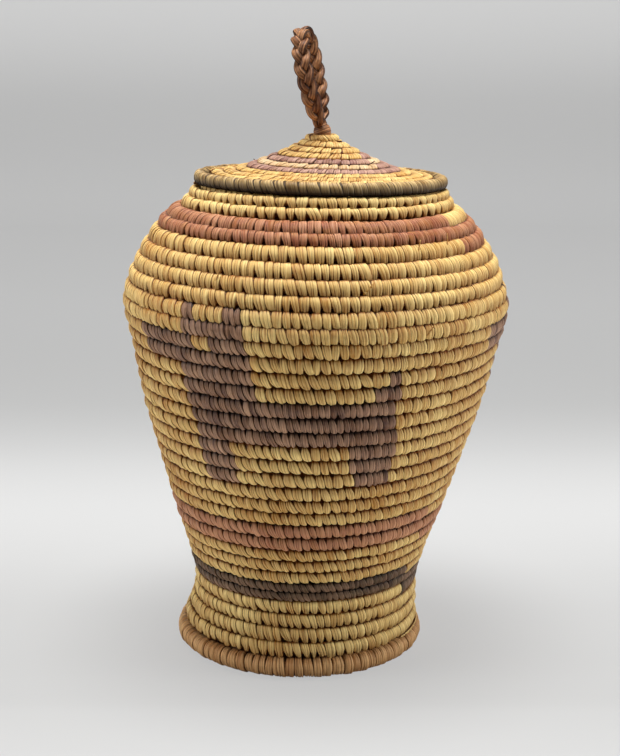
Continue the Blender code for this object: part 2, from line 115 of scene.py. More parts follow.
# Row, and how far the outline has come there from the waist to the belly, or from there to the neck.
FLARE_SHARES = ((6, 0.083), (10, 0.303), (14, 0.519), (18, 0.735), (22, 0.900))
SHOULDER_SHARES = ((26, 0.096), (28, 0.284), (30, 0.594), (31, 0.734))
DRAWN_IN_ROW, DRAWN_IN_SHARE, WAIST_ROW, BELLY_ROW, NECK_ROW, MOUTH_ROW = 1.5, 0.75, 3, 24.4, 32, 34
WALL_OUTLINE = np.array(
    [(0, FOOT), (DRAWN_IN_ROW, FOOT + DRAWN_IN_SHARE * (WAIST - FOOT)), (WAIST_ROW, WAIST)]
    + [(row, WAIST + share * (BELLY - WAIST)) for row, share in FLARE_SHARES]
    + [(BELLY_ROW, BELLY)]
    + [(row, BELLY + share * (NECK - BELLY)) for row, share in SHOULDER_SHARES]
    + [(NECK_ROW, NECK), (MOUTH_ROW, MOUTH)]
)
LID_ROLL_RADIUS, LID_ROLL_OUTER_RADIUS, LID_ROLL_HEIGHT = 0.0039, 0.0757, 0.2896
LID_RISE, LID_EDGE_LIFT, LID_CURVE_POWER = 0.0203, 0.0036, 1.5
EYE_RING_RADIUS, EYE_RING_CENTRE_RADIUS, EYE_RING_LIFT, SEAT_GAP = 0.0028, 0.0076, 0.0027, 0.0003
LID_EYE = EYE_RING_CENTRE_RADIUS + EYE_RING_RADIUS + SEAT_GAP
LID_INNER_BANDS = (
    ("lid_crown_coil", 2, 0.0060, "straw"), ("lid_inner_mauve_coil", 2, 0.0060, "mauve"),
    ("lid_pale_coil", 1, 0.0056, "cream"), ("lid_outer_mauve_coil", 2, 0.0065, "mauve"),
)
LID_OUTER_TURNS = 2
lid_inner_width = sum(turns * row for _, turns, row, _ in LID_INNER_BANDS)
lid_outer_width = LID_ROLL_OUTER_RADIUS - 2 * LID_ROLL_RADIUS - SEAT_GAP - LID_EYE - lid_inner_width
LID_BANDS = LID_INNER_BANDS + (
    ("lid_outer_coil", LID_OUTER_TURNS, lid_outer_width / LID_OUTER_TURNS, "straw"),
)
BASE_KNOT_RADIUS, BASE_UNDERSIDE, BASE_TURNS = 0.0042, 0.0020, 7


def smooth_between(stations, place):
    """Values of a smooth curve through (place, value) stations that never overshoots them."""
    places, values = stations.T
    place = np.clip(place, places[0], places[-1])
    steps = np.diff(places)
    slopes = np.diff(values) / steps
    before, after = slopes[:-1], slopes[1:]
    same_way = before * after > 0
    middle = np.where(same_way, 2 * before * after / np.where(same_way, before + after, 1), 0)
    tangents = np.concatenate([slopes[:1], middle, slopes[-1:]])
    i = np.clip(np.searchsorted(places, place, side="right") - 1, 0, len(steps) - 1)
    t = (place - places[i]) / steps[i]
    return (values[i] * (1 + 2 * t) * (1 - t) ** 2 + tangents[i] * steps[i] * t * (1 - t) ** 2
            + values[i + 1] * t * t * (3 - 2 * t) + tangents[i + 1] * steps[i] * t * t * (t - 1))


def rows_size(bands, row):
    """The summed size of the rows before a row number."""
    turns = np.concatenate([[0], np.cumsum([band[1] for band in bands])])
    sizes = np.concatenate([[0], np.cumsum([band[1] * band[2] for band in bands])])
    return np.interp(row, turns, sizes)


WALL_TURNS = sum(band[1] for band in WALL_BANDS)
LID_TURNS = sum(band[1] for band in LID_BANDS)
FOOT_ROLL_HALF_HEIGHT = FOOT_ROLL_RADIUS * math.cos(math.pi / FOOT_ROLL_SIDES)
FOOT_TOP_HEIGHT = FOOT_ROLL_HALF_HEIGHT + FOOT_ROLL_RADIUS + FOOT_COIL_LIFT
BELLY_HEIGHT = FOOT_TOP_HEIGHT + float(rows_size(WALL_BANDS, BELLY_ROW))
MOUTH_HEIGHT = FOOT_TOP_HEIGHT + float(rows_size(WALL_BANDS, WALL_TURNS))
LID_TOP_EDGE = LID_ROLL_HEIGHT + LID_EDGE_LIFT
BASE_ROW = (FOOT_ROLL_OUTER_RADIUS - 2 * FOOT_ROLL_RADIUS - BASE_KNOT_RADIUS - SEAT_GAP / 2) / BASE_TURNS


def wall_edge(row):
    row = np.clip(row, 0, WALL_TURNS)
    return smooth_between(WALL_OUTLINE, row), FOOT_TOP_HEIGHT + rows_size(WALL_BANDS, row)


def lid_edge(row):
    row = np.clip(row, 0, LID_TURNS)
    slope_share = (1 - row / LID_TURNS) ** LID_CURVE_POWER
    return LID_EYE + rows_size(LID_BANDS, row), LID_TOP_EDGE + LID_RISE * slope_share


def base_edge(row):
    row = np.clip(row, 0, BASE_TURNS)
    return BASE_KNOT_RADIUS + SEAT_GAP / 2 + BASE_ROW * row, np.full(np.shape(row), BASE_UNDERSIDE)


print(f"belly {BELLY_HEIGHT * 1000:.1f} mm up, mouth {MOUTH_HEIGHT * 1000:.1f} mm up")

# %% [markdown]
# ## How the basket has settled
#
# Nothing on the real basket is quite level. It leans, its foot has slipped to the left, its rows
# fall to the right, and the mouth falls to the back. One small function bends every point of the
# true round shape that way, so the wall, the lid and the roll under the foot all settle together.

# %% Settle a point, and find the frame of a coil
LEAN, ROW_TILT, FOOT_TILT, FOOT_TILT_HEIGHT = 0.0365, 0.036, 0.035, 0.020
FOOT_SLIP, FOOT_SLIP_HEIGHT, TILT_EASE_SHARE, TILT_EASE_HEIGHT = 0.0038, 0.0450, 0.35, 0.0260
ROW_BANK, ROW_BANK_POWER = 0.035, 10
FRONT = -math.pi / 2
SEAM_SHARE = 57 / 360
FIRST_TURN = SEAM_SHARE - 0.5
NEARBY_TURN = 0.002
LEAST_HALF_ROW = 0.0004


def settle(radius, azimuth, height):
    """Points of the settled basket, in an array that ends with x, y and z."""
    x, y = radius * np.cos(azimuth), radius * np.sin(azimuth)
    share = np.minimum(height / MOUTH_HEIGHT, 1)
    foot_share = (height / FOOT_TILT_HEIGHT * np.exp(1 - height / FOOT_TILT_HEIGHT)) ** 2
    near_mouth = np.clip(1 - (MOUTH_HEIGHT - height) / TILT_EASE_HEIGHT, 0, 1)
    eased = 1 - TILT_EASE_SHARE * near_mouth ** 2 * (3 - 2 * near_mouth)
    fall = (ROW_TILT * share * eased + FOOT_TILT * foot_share) * x + ROW_BANK * share ** ROW_BANK_POWER * y
    slip = FOOT_SLIP * np.maximum(1 - height / FOOT_SLIP_HEIGHT, 0) ** 2
    return np.stack([x + LEAN * (height - BELLY_HEIGHT) - slip, y, height - fall], -1)


def azimuth_of(turn):
    """Row n crosses the front at turn n + 1/2."""
    return FRONT + (turn - 0.5) * 2 * math.pi


def unit(vectors):
    return vectors / np.linalg.norm(vectors, axis=-1, keepdims=True)


def frame_from(centre_at, row_at, turn, side):
    """Centre, outward and rowward directions and half a row, for a coil at each turn."""
    forward = unit(centre_at(turn + NEARBY_TURN) - centre_at(turn - NEARBY_TURN))
    row = row_at(turn)
    half = np.maximum(np.linalg.norm(row, axis=-1) / 2, LEAST_HALF_ROW)
    rowward = unit(row - forward * (row * forward).sum(-1, keepdims=True))
    outward = np.cross(forward, rowward) * side
    return centre_at(turn), outward, rowward, half


def spiral(edge, side):
    """The frame of a spiral whose rows lie between its outline's edges."""
    def centre_at(turn):
        r0, z0 = edge(turn - 0.5)
        r1, z1 = edge(turn + 0.5)
        across_r, across_z = (r1 - r0) / 2, (z1 - z0) / 2
        return settle(r0 + across_r - across_z * side, azimuth_of(turn), z0 + across_z + across_r * side)

    def row_at(turn):
        azimuth = azimuth_of(turn)
        r0, z0 = edge(turn - 0.5)
        r1, z1 = edge(turn + 0.5)
        return settle(r1, azimuth, z1) - settle(r0, azimuth, z0)

    return lambda turn: frame_from(centre_at, row_at, turn, side)


def hoop(radius, height, thickness):
    """The frame of a closed ring; one turn goes once round."""
    def centre_at(turn):
        return settle(np.full(np.shape(turn), radius), azimuth_of(turn), np.full(np.shape(turn), height))

    def row_at(turn):
        return np.broadcast_to((0, 0, 2 * thickness), np.shape(turn) + (3,))

    return lambda turn: frame_from(centre_at, row_at, turn, 1)


wall_spiral, lid_spiral, base_spiral = spiral(wall_edge, 1), spiral(lid_edge, -1), spiral(base_edge, 1)
middle_row = wall_spiral(np.array([17.5]))
print("row 17 at the front lies at", np.round(middle_row[0][0] * 1000, 1), "mm")

# %% [markdown]
# ## Colours
#
# A colour is written as a web colour, as a painter's chart would give it, and one function turns it
# into the linear numbers that the shaders need. A second small function adds a node to a material
# with its settings and links, which keeps each material readable as a recipe.

# %% Helpers for materials


def linear(hex_colour):
    channels = [int(hex_colour[i:i + 2], 16) / 255 for i in (1, 3, 5)]
    return [c / 12.92 if c <= 0.04045 else ((c + 0.055) / 1.055) ** 2.4 for c in channels] + [1]


def add(tree, kind, inputs=(), **settings):
    """Adds a node with its settings; an input is a number, a colour or another node's socket."""
    node = tree.nodes.new(kind)
    for name, value in settings.items():
        setattr(node, name, value)
    for socket, value in dict(inputs).items():
        if isinstance(value, bpy.types.NodeSocket):
            tree.links.new(value, node.inputs[socket])
        else:
            node.inputs[socket].default_value = value
    return node


def new_material(name):
    material = bpy.data.materials.new(name)
    material.use_nodes = True
    return material, material.node_tree, material.node_tree.nodes["Principled BSDF"]


print(f"the web colour #808080 is {linear('#808080')[0]:.3f} in linear light")

# %% [markdown]
# ## Stitch fibre
#
# The stitches are split strips of palm leaf or sweetgrass: a dry plant fibre with a soft sheen,
# roughness about 0.55 and the refraction index of cellulose, 1.5. Each strip shows fine lines along
# its length, about 0.9 mm apart here, which is as fine as the render can show, and darker cracks a
# little farther apart. The strips differ in colour from stitch to stitch and fade in patches a few
# centimetres wide. The gaps are painted in shade, over the lines of the grass bundle that run the
# other way there. The raised edges of the strips carry a painted highlight, and one end of each row
# is painted in shade. Each stitched mesh carries an attribute for that: how much painted shade a
# point gets (negative for a painted highlight on an edge), how high on its row it lies, and a tone
# for each stitch. The height is turned over where the strips open at the top of their row, so the
# painted row shade falls at the end where they open.

# %% Material of the stitches
FIBRE_LINE, FIBRE_LENGTH, PATCH_SIZE, HUE_SIZE = 0.0009, 0.014, 0.035, 0.008
CRACK_LINE, CRACK_LENGTH, BUNDLE_LINE, BUNDLE_LENGTH = 0.0013, 0.020, 0.0009, 0.009
FIBRE_NOISE_SCALE, LINE_NOISE_SCALE = 0.7, 0.8
FIBRE_RELIEF, RELIEF_STRENGTH = 0.00022, 0.7
# How strong the fibre lines, the painted edge highlight, the cracks and the bundle lines are.
FIBRE_CONTRAST, EDGE_HIGHLIGHT_STRENGTH, CRACK_CONTRAST, BUNDLE_CONTRAST = 0.75, 0.45, 0.75, 0.75
FIBRE_RANGE, BRIGHTNESS_RANGE, HUE_RANGE = (0.36, 0.66), (0.98, 2.10), (0.42, 0.62)
CRACK_RANGE, BUNDLE_RANGE = (0.56, 0.70), (0.46, 0.64)
# Height on its row at which a strip gets its full painted shade, and above which it gets none.
SHADED_LIFT, LIT_LIFT = -0.95, 0.25
CELLULOSE_IOR, SOFT_SHEEN = 1.5, 0.28


def stitch_material(name, crown, body, other, age_and_shade, groove, roughness=0.55, shade=0.45,
                    lit_above=LIT_LIFT):
    """Crown is a strip's palest colour and its painted edge highlight, body and other its usual hues,
    the next colour is for cracks, bundle lines and painted row shade, the last for painted gap shade.
    """
    material, tree, shader = new_material(name)
    weave = add(tree, "ShaderNodeAttribute", attribute_name="weave")
    parts = add(tree, "ShaderNodeSeparateXYZ", {"Vector": weave.outputs["Vector"]})
    painted_shading, lift, tone = parts.outputs["X"], parts.outputs["Y"], parts.outputs["Z"]
    place = add(tree, "ShaderNodeTexCoord")
    strip = add(tree, "ShaderNodeMapping", {
        "Vector": place.outputs["UV"], "Scale": (1 / FIBRE_LINE, 1 / FIBRE_LENGTH, 1)})
    fibre = add(tree, "ShaderNodeTexNoise", {
        "Vector": strip.outputs["Vector"], "Scale": FIBRE_NOISE_SCALE, "Detail": 4, "Roughness": 0.75})
    patch = add(tree, "ShaderNodeTexNoise", {
        "Vector": place.outputs["Object"], "Scale": 1 / PATCH_SIZE, "Detail": 2})
    lines = add(tree, "ShaderNodeMapRange", {
        "Value": fibre.outputs["Fac"], "From Min": FIBRE_RANGE[0], "From Max": FIBRE_RANGE[1],
        "To Max": FIBRE_CONTRAST})
    varied = add(tree, "ShaderNodeMath", {0: tone, 1: patch.outputs["Fac"]}, operation="ADD")
    streaked = add(tree, "ShaderNodeMath", {
        0: varied.outputs[0], 1: lines.outputs["Result"]}, operation="ADD")
    # A painted highlight: where the shading mark is negative, on a raised edge, the strip is lighter.
    edge = add(tree, "ShaderNodeMath", {0: painted_shading, 1: -EDGE_HIGHLIGHT_STRENGTH}, operation="MULTIPLY")
    edge = add(tree, "ShaderNodeMath", {0: edge.outputs[0], 1: 0}, operation="MAXIMUM")
    lit = add(tree, "ShaderNodeMath", {0: streaked.outputs[0], 1: edge.outputs[0]}, operation="ADD")
    brightness = add(tree, "ShaderNodeMapRange", {
        "Value": lit.outputs[0], "From Min": BRIGHTNESS_RANGE[0], "From Max": BRIGHTNESS_RANGE[1]})
    hue = add(tree, "ShaderNodeTexNoise", {
        "Vector": place.outputs["Object"], "Scale": 1 / HUE_SIZE, "Detail": 2, "Roughness": 0.7})
    hue_share = add(tree, "ShaderNodeMapRange", {
        "Value": hue.outputs["Fac"], "From Min": HUE_RANGE[0], "From Max": HUE_RANGE[1]})
    usual = add(tree, "ShaderNodeMix", {
        "Factor": hue_share.outputs["Result"], "A": linear(body), "B": linear(other)}, data_type="RGBA")
    toned_and_highlit = add(tree, "ShaderNodeMix", {
        "Factor": brightness.outputs["Result"], "A": usual.outputs["Result"], "B": linear(crown)},
        data_type="RGBA")
    # Painted shade at one end of each row, where less light falls.
    row_shade = add(tree, "ShaderNodeMapRange", {
        "Value": lift, "From Min": lit_above, "From Max": SHADED_LIFT, "To Max": shade})
    row_shaded = add(tree, "ShaderNodeMix", {
        "Factor": row_shade.outputs["Result"], "A": toned_and_highlit.outputs["Result"], "B": linear(age_and_shade)}, data_type="RGBA")
    crack_strip = add(tree, "ShaderNodeMapping", {
        "Vector": place.outputs["UV"], "Scale": (1 / CRACK_LINE, 1 / CRACK_LENGTH, 1)})
    crack_noise = add(tree, "ShaderNodeTexNoise", {
        "Vector": crack_strip.outputs["Vector"], "Scale": LINE_NOISE_SCALE, "Detail": 2,
        "Roughness": 0.6})
    crack = add(tree, "ShaderNodeMapRange", {
        "Value": crack_noise.outputs["Fac"], "From Min": CRACK_RANGE[0], "From Max": CRACK_RANGE[1],
        "To Max": CRACK_CONTRAST})
    cracked = add(tree, "ShaderNodeMix", {
        "Factor": crack.outputs["Result"], "A": row_shaded.outputs["Result"], "B": linear(age_and_shade)}, data_type="RGBA")
    bundle_strip = add(tree, "ShaderNodeMapping", {
        "Vector": place.outputs["UV"], "Scale": (1 / BUNDLE_LENGTH, 1 / BUNDLE_LINE, 1)})
    bundle_noise = add(tree, "ShaderNodeTexNoise", {
        "Vector": bundle_strip.outputs["Vector"], "Scale": LINE_NOISE_SCALE, "Detail": 1})
    bundle_lines = add(tree, "ShaderNodeMapRange", {
        "Value": bundle_noise.outputs["Fac"], "From Min": BUNDLE_RANGE[0], "From Max": BUNDLE_RANGE[1],
        "To Max": BUNDLE_CONTRAST})
    # Painted shade in creases, splits and grooves, over the lines of the grass bundle.
    bundle = add(tree, "ShaderNodeMix", {
        "Factor": bundle_lines.outputs["Result"], "A": linear(groove), "B": linear(age_and_shade)}, data_type="RGBA")
    shadowed = add(tree, "ShaderNodeMix", {
        "Factor": painted_shading, "A": cracked.outputs["Result"], "B": bundle.outputs["Result"]}, data_type="RGBA")
    relief = add(tree, "ShaderNodeBump", {
        "Height": fibre.outputs["Fac"], "Strength": RELIEF_STRENGTH, "Distance": FIBRE_RELIEF})
    tree.links.new(shadowed.outputs["Result"], shader.inputs["Base Color"])
    tree.links.new(relief.outputs["Normal"], shader.inputs["Normal"])
    shader.inputs["Roughness"].default_value = roughness
    shader.inputs["IOR"].default_value = CELLULOSE_IOR
    shader.inputs["Specular IOR Level"].default_value = SOFT_SHEEN
    return material


# The colour of the painted shade in the gaps between stitches and rows.
GROOVE_SHADE = "#441A00"
# Name of the finish, then the colours crown, body and other, the colour of cracks, bundle lines and painted
# shade at one end of a row, the colour of painted shade in the gaps, then what differs.
DYES = {
    "straw": ("sewn sweetgrass, natural", "#FFE296", "#C48A3A", "#B06E24", "#864408", GROOVE_SHADE),
    "cream": ("sewn sweetgrass, pale", "#FFE8BE", "#CCA068", "#C49058", "#9A6A34", GROOVE_SHADE),
    "rose": ("sewn palm strip, dyed rose", "#D8A078", "#9A5638", "#AA6C3A", "#683418", "#280B03"),
    "plum": ("sewn palm strip, dyed aubergine", "#C69C7C", "#563832", "#70462A", "#36201A", "#140602"),
    "mauve": ("sewn palm strip, dyed mauve", "#DCB29C", "#825048", "#8C6046", "#543022", "#240E06"),
    "brown": ("sewn palm strip, walnut brown", "#94745A", "#4C3428", "#423820", "#2E1C10", "#100602"),
    # The olive roll is painted in shade over all but its top, darkest low down, as the light falls from
    # above.
    "olive": ("wrapped roll, olive leaf", "#F0CE90", "#946A34", "#7A582A", "#1E1004", "#120702",
              0.5, 1.35, 0.95),
    "foot_tan": ("wrapped roll, tanned leaf", "#ECBE84", "#B47840", "#A66C3C", "#845022", "#2C1402"),
    "reed_brown": ("plaited leaf, red-brown", "#DCA06E", "#563020", "#6E3E20", "#381C0E", "#140601"),
}
STITCHES = {dye: stitch_material(*facts) for dye, facts in DYES.items()}
print("stitch finishes:", ", ".join(sorted(STITCHES)))

# %% [markdown]
# ## From a grid to a sewn tube
#
# Every wound piece is the same kind of shape: a long sheet rolled up round its bundle. So it starts
# as a flat bmesh grid, one direction along the coil and the other round it. The grid's points are
# then moved to their places, the two long edges are merged, and the ends are filled, which leaves a
# closed tube with a clean layout for the fibre lines.

# %% Roll a grid up into a closed tube
MERGE_DISTANCE = 0.000002


def rolled_tube(name, places, weave, tones, dyes, span, closed, body, slot, nodes=()):
    """Places is [column, ring, xyz]. Tones and dyes are given for each column of faces."""
    columns, rings = places.shape[:2]
    bm = bmesh.new()
    bm.loops.layers.uv.new("UVMap")
    bmesh.ops.create_grid(bm, x_segments=columns - 1, y_segments=rings - 1, size=0.5, calc_uvs=True)
    mesh = bpy.data.meshes.new(name)
    bm.to_mesh(mesh)
    bm.free()
    flat = np.empty(len(mesh.vertices) * 3, dtype=np.float32)
    mesh.vertices.foreach_get("co", flat)
    flat = flat.reshape(-1, 3)
    column = np.rint((flat[:, 0] + 0.5) * (columns - 1)).astype(int)
    ring = np.rint((flat[:, 1] + 0.5) * (rings - 1)).astype(int)
    corners = np.empty(len(mesh.loops), dtype=np.int32)
    mesh.loops.foreach_get("vertex_index", corners)
    face_column = column[corners].reshape(-1, 4).min(1)

    mesh.vertices.foreach_set("co", places[column, ring].astype(np.float32).ravel())
    attribute = mesh.attributes.new("weave", "FLOAT_VECTOR", "CORNER")
    marks = np.empty((len(corners), 3), dtype=np.float32)
    marks[:, :2] = weave[column[corners], ring[corners]]
    marks[:, 2] = np.repeat(tones[face_column], 4)
    attribute.data.foreach_set("vector", marks.ravel())
    spans = [np.broadcast_to(part, (columns, rings))[column[corners], ring[corners]] for part in span]
    uv = np.stack(spans, -1).astype(np.float32)
    mesh.uv_layers["UVMap"].data.foreach_set("uv", uv.ravel())
    used = sorted(set(dyes))
    for dye in used:
        mesh.materials.append(STITCHES[dye])
    index_of = np.array([used.index(dye) for dye in dyes], dtype=np.int32)
    mesh.polygons.foreach_set("material_index", index_of[face_column])

    bm = bmesh.new()
    bm.from_mesh(mesh)
    bm.verts.ensure_lookup_table()
    rim = (ring == 0) | (ring == rings - 1)
    if closed:
        rim |= (column == 0) | (column == columns - 1)
    bmesh.ops.remove_doubles(bm, verts=[bm.verts[i] for i in np.flatnonzero(rim)], dist=MERGE_DISTANCE)
    bmesh.ops.holes_fill(bm, edges=[edge for edge in bm.edges if edge.is_boundary], sides=0)
    bmesh.ops.recalc_face_normals(bm, faces=bm.faces)
    bm.to_mesh(mesh)
    bm.free()
    mesh.shade_smooth()
    made = bpy.data.objects.new(name, mesh)
    bpy.context.collection.objects.link(made)
    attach(made, body)
    if nodes:
        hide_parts(*nodes)
    return made


print(f"points less than {MERGE_DISTANCE * 1000:.3f} mm apart become one along the seam")

# %% [markdown]
# ## Where the stitches go
#
# Each stretch of coil is measured along its middle and filled with whole stitches, none quite as
# wide as the next. Two stitches are never alike, so each gets its own slant, height, notches, tip,
# splits and tone. Lengths in a look are in metres. Its gaps, slant and lean are shares of a stitch's
# width, and fall says at which end a strip parts and is painted in shade: 1 at the foot of the row,
# -1 at its top.

# %% Lay out the stitches
LENGTH_STEPS = 60
WALL_SEED, LID_SEED, RING_SEED, BASE_SEED, PLAIT_SEED, KNOT_SEED, LOOSE_SEED = 1, 31, 51, 61, 71, 81, 90
PROUD_LIMIT, TONE_LIMIT, MOST_SKEW = 1.6, 2, 0.7
FIRST_SPLIT_ODDS, SECOND_SPLIT_ODDS, LEAST_SPLIT_SHARE = 5, 2, 0.5
FIRST_SPLIT_PLACES, SECOND_SPLIT_PLACES = (0.24, 0.40), (0.58, 0.76)
VARIED_SHARES = {"tip": 0.5, "notch": 0.4, "top_notch": 0.6, "low_gap": 0.75, "top_gap": 0.75}
# Groove sets how much painted shade the groove between rows gets.
BASIC = dict(width=0.0053, mid_gap=0.030, top_gap=0.14, low_gap=0.04, crease=0.00030, notch=0.0004,
             top_notch=0.0009, tip=0.0010, slant=0.24, lean=0.15, jitter=0.24, proud=0.00018, tone=0.11,
             split=0.00048, shingle=1.0, groove=1.0, thick=1.0, overlap=1.05, fall=-1.0, bright=0.50)
HIGH_WALL = dict(BASIC, top_gap=0.02, low_gap=0.12, notch=0.0009, top_notch=0.0002, tip=0.0013, slant=0.13,
                 fall=1.0)


def lay_out(frame_at, spans, looks, rng):
    """Stitch edges in turns and the dye of each stitch, filling each span with whole stitches."""
    edges, dyes = [spans[0][0]], []
    for start, end, dye in spans:
        centre = frame_at(np.linspace(start, end, 2 + round((end - start) * LENGTH_STEPS)))[0]
        length = np.linalg.norm(np.diff(centre, axis=0), axis=1).sum()
        count = max(1, round(length / looks[dye]["width"]))
        widths = 1 + looks[dye]["jitter"] * rng.uniform(-1, 1, count)
        edges.extend(start + (end - start) * np.cumsum(widths) / widths.sum())
        dyes += [dye] * count
    return np.array(edges), dyes


def stitch_facts(dyes, looks, rng):
    """The look of every stitch, varied at random. Splits come at odds of so many to one."""
    count = len(dyes)

    def spread(least, most):
        return rng.uniform(least, most, count)

    fact = {key: np.array([looks[dye][key] for dye in dyes]) for key in BASIC}
    fact["slant"] = fact["slant"] + fact["lean"] * spread(-1, 1)
    fact["proud"] = fact["proud"] * rng.normal(0, 1, count).clip(-PROUD_LIMIT, PROUD_LIMIT)
    for key, odds in (("first_split", FIRST_SPLIT_ODDS), ("second_split", SECOND_SPLIT_ODDS)):
        fact[key] = fact["split"] * (spread(-1, odds) > 0) * spread(LEAST_SPLIT_SHARE, 1)
    for key, most in VARIED_SHARES.items():
        fact[key] = fact[key] * spread(1 - most, 1 + most)
    fact["skew"] = spread(-MOST_SKEW, MOST_SKEW)
    fact["first_place"] = spread(*FIRST_SPLIT_PLACES)
    fact["second_place"] = spread(*SECOND_SPLIT_PLACES)
    fact["bright"] = fact["bright"] + fact["tone"] * rng.normal(0, 1, count).clip(-TONE_LIMIT, TONE_LIMIT)
    return fact


print("a plain stitch is", BASIC["width"] * 1000, "mm wide")

# %% [markdown]
# ## The columns of a stitch
#
# Across its width a stitch is nearly flat, with a crease on each side. Halfway down its row the
# crease is thin. Where the needle went through, the stitch narrows and a dark notch opens on both
# sides of it: at the foot of the row on the shoulder, the lid and the foot, and at its top on the
# wall between them. It slants a little, because the strip travels on to its next hole, and more so
# on the left of the basket. Many stitches are two or three narrow strips side by side, so fine
# splits run down them and open towards the notches.
#
# Each stitch gets eleven columns of points: three in the crease, one on each shoulder and three for
# each of two splits. Round the bundle the points lie closest where the rows meet.

# %% Set out the columns of a stitch
RING_DEGREES = (-180, -145, -102, -85, -70, -53, -33, -11, 11, 33, 52, 69, 85, 102, 145, 180)
COLUMNS = 11
CREASE, LEFT_FOOT, FIRST_SPLIT, SECOND_SPLIT, RIGHT_FOOT = 0, 1, 4, 7, 10
FOOT_GAP_SHARE, SHOULDER_SHARE = 0.75, 0.035
SPLIT_HALF_WIDTH, SPLIT_OPENING = 0.036, 1.2
SLANT_RIGHT, SLANT_LEFT_EXTRA = 0.6, 0.8
LOW_RANGE, HIGH_RANGE = (-0.10, 0.95), (0.10, 0.95)


def smooth_step(value, low, high):
    t = np.clip((value - low) / (high - low), 0, 1)
    return t * t * (3 - 2 * t)


RING = np.radians(RING_DEGREES)
LIFT, OUTSIDE = np.sin(RING), np.cos(RING)
LOW, HIGH = smooth_step(-LIFT, *LOW_RANGE), smooth_step(LIFT, *HIGH_RANGE)


class Columns:
    """The columns of points of one sewn coil. Each belongs to a stitch and has its kind of place."""

    def __init__(self, fact, edges, closed):
        count = len(edges) - 1
        self.fact = fact
        self.edges = edges
        self.stitch = np.append(np.repeat(np.arange(count), COLUMNS), count - 1)
        self.kind = np.append(np.tile(np.arange(COLUMNS), count), CREASE)
        self.after_last = np.append(np.zeros(count * COLUMNS), 1)
        before = (self.stitch - 1) % count if closed else np.maximum(self.stitch - 1, 0)
        self.crease_mate = np.where(self.after_last > 0, 0 if closed else count - 1, before)
        self.in_gap = np.isin(self.kind, (CREASE, LEFT_FOOT, RIGHT_FOOT))[:, None]
        self.parted = np.where(self.at("fall") > 0, LOW, HIGH)

    def at(self, key):
        """A stitch's value on its own columns, and the mean of both neighbours in a crease."""
        own = self.fact[key][self.stitch]
        return np.where(self.kind == CREASE, (own + self.fact[key][self.crease_mate]) / 2, own)[:, None]

    def split_depth(self):
        """How deep the split is on the columns that run down one."""
        first, second = (self.kind == FIRST_SPLIT)[:, None], (self.kind == SECOND_SPLIT)[:, None]
        return self.at("first_split") * first + self.at("second_split") * second

    def across(self):
        """How far across its stitch each point lies, from 0 at its crease to 1 at the next."""
        gap = self.at("mid_gap") + self.at("top_gap") * HIGH + self.at("low_gap") * LOW
        foot = gap * FOOT_GAP_SHARE
        shares, openings = [SHOULDER_SHARE], [0]
        for key in ("first_place", "second_place"):
            shares += [self.fact[key][self.stitch]] * 3
            openings += [-SPLIT_HALF_WIDTH, 0, SPLIT_HALF_WIDTH]
        between = [self.kind == kind for kind in range(LEFT_FOOT + 1, RIGHT_FOOT)]
        arch = np.select(between, shares + [1 - SHOULDER_SHARE])[:, None]
        arch = arch + np.select(between, openings + [0])[:, None] * (1 + SPLIT_OPENING * self.parted)
        edge_kinds = [(self.kind == kind)[:, None] for kind in (CREASE, LEFT_FOOT, RIGHT_FOOT)]
        return np.select(edge_kinds, [0, foot, 1 - foot], gap + (1 - 2 * gap) * arch)

    def turn(self, across):
        """How far along the coil each point lies, in turns."""
        on_left = (1 - np.cos(azimuth_of(self.edges[self.stitch])))[:, None] / 2
        slant = self.at("slant") * (SLANT_RIGHT + SLANT_LEFT_EXTRA * on_left)
        along = across + self.after_last[:, None] - slant * LIFT
        return self.edges[self.stitch][:, None] + along * self.at("span")


print(len(RING), "points round a coil,", COLUMNS, "columns to a stitch")

# %% [markdown]
# ## The shape of a stitch
#
# Every point stands out from the middle of its bundle. A stitch stands a little higher or lower
# than the next and overlaps it like a shingle. It is sunk in creases, notches and splits, and its
# tip reaches over the row below. On the side inside the basket nothing is sunk, so the rows close
# there, and what would dip below the floor is pressed flat on it.

# %% Shape the stitches
SECTION_POWER = 2.25
CROWN_HEIGHT, OVERLAP_TILT, SPLIT_DEPTH, SPLIT_DEEPENING = 0.00010, 0.00040, 0.7, 1.1
# For each column: how much of the crown it takes up, and how far it reaches at the tip.
CROWN = np.array((0, 0, 0.2, 0.8, 0.9, 1.0, 1.0, 0.9, 0.8, 0.2, 0))
TIP_SHAPE = np.array((-0.6, -0.4, 0.2, 0.80, 0.35, 0.95, 1.0, 0.45, 0.85, 0.3, -0.2))
TIP_RANGE, TIP_COSINE, INSIDE_COSINE = (0.45, 0.95), -0.4, -0.1
FULL_HALF_ROW, END_PINCH = 0.003, 0.02
SWELL, RIPPLE, RING_RIPPLE = 0.018, 0.014, 0.012
SWELL_PACE, RIPPLE_PACE, RING_SWELLS, RING_RIPPLES = 43, 71, 7, 11


def squared_off(wave, power):
    """A sine or cosine for a section between round (a power of 2) and square."""
    return np.sign(wave) * np.abs(wave) ** (2 / power)


def swelling(turn, seed, closed):
    """How a bundle swells and thins along its coil. On a ring whole waves go round."""
    if closed:
        angle = turn * 2 * math.pi
        return 1 + SWELL * np.sin(angle * RING_SWELLS + seed) + RING_RIPPLE * np.sin(angle * RING_RIPPLES)
    return 1 + SWELL * np.sin(turn * SWELL_PACE + seed) + RIPPLE * np.sin(turn * RIPPLE_PACE + 2 * seed)


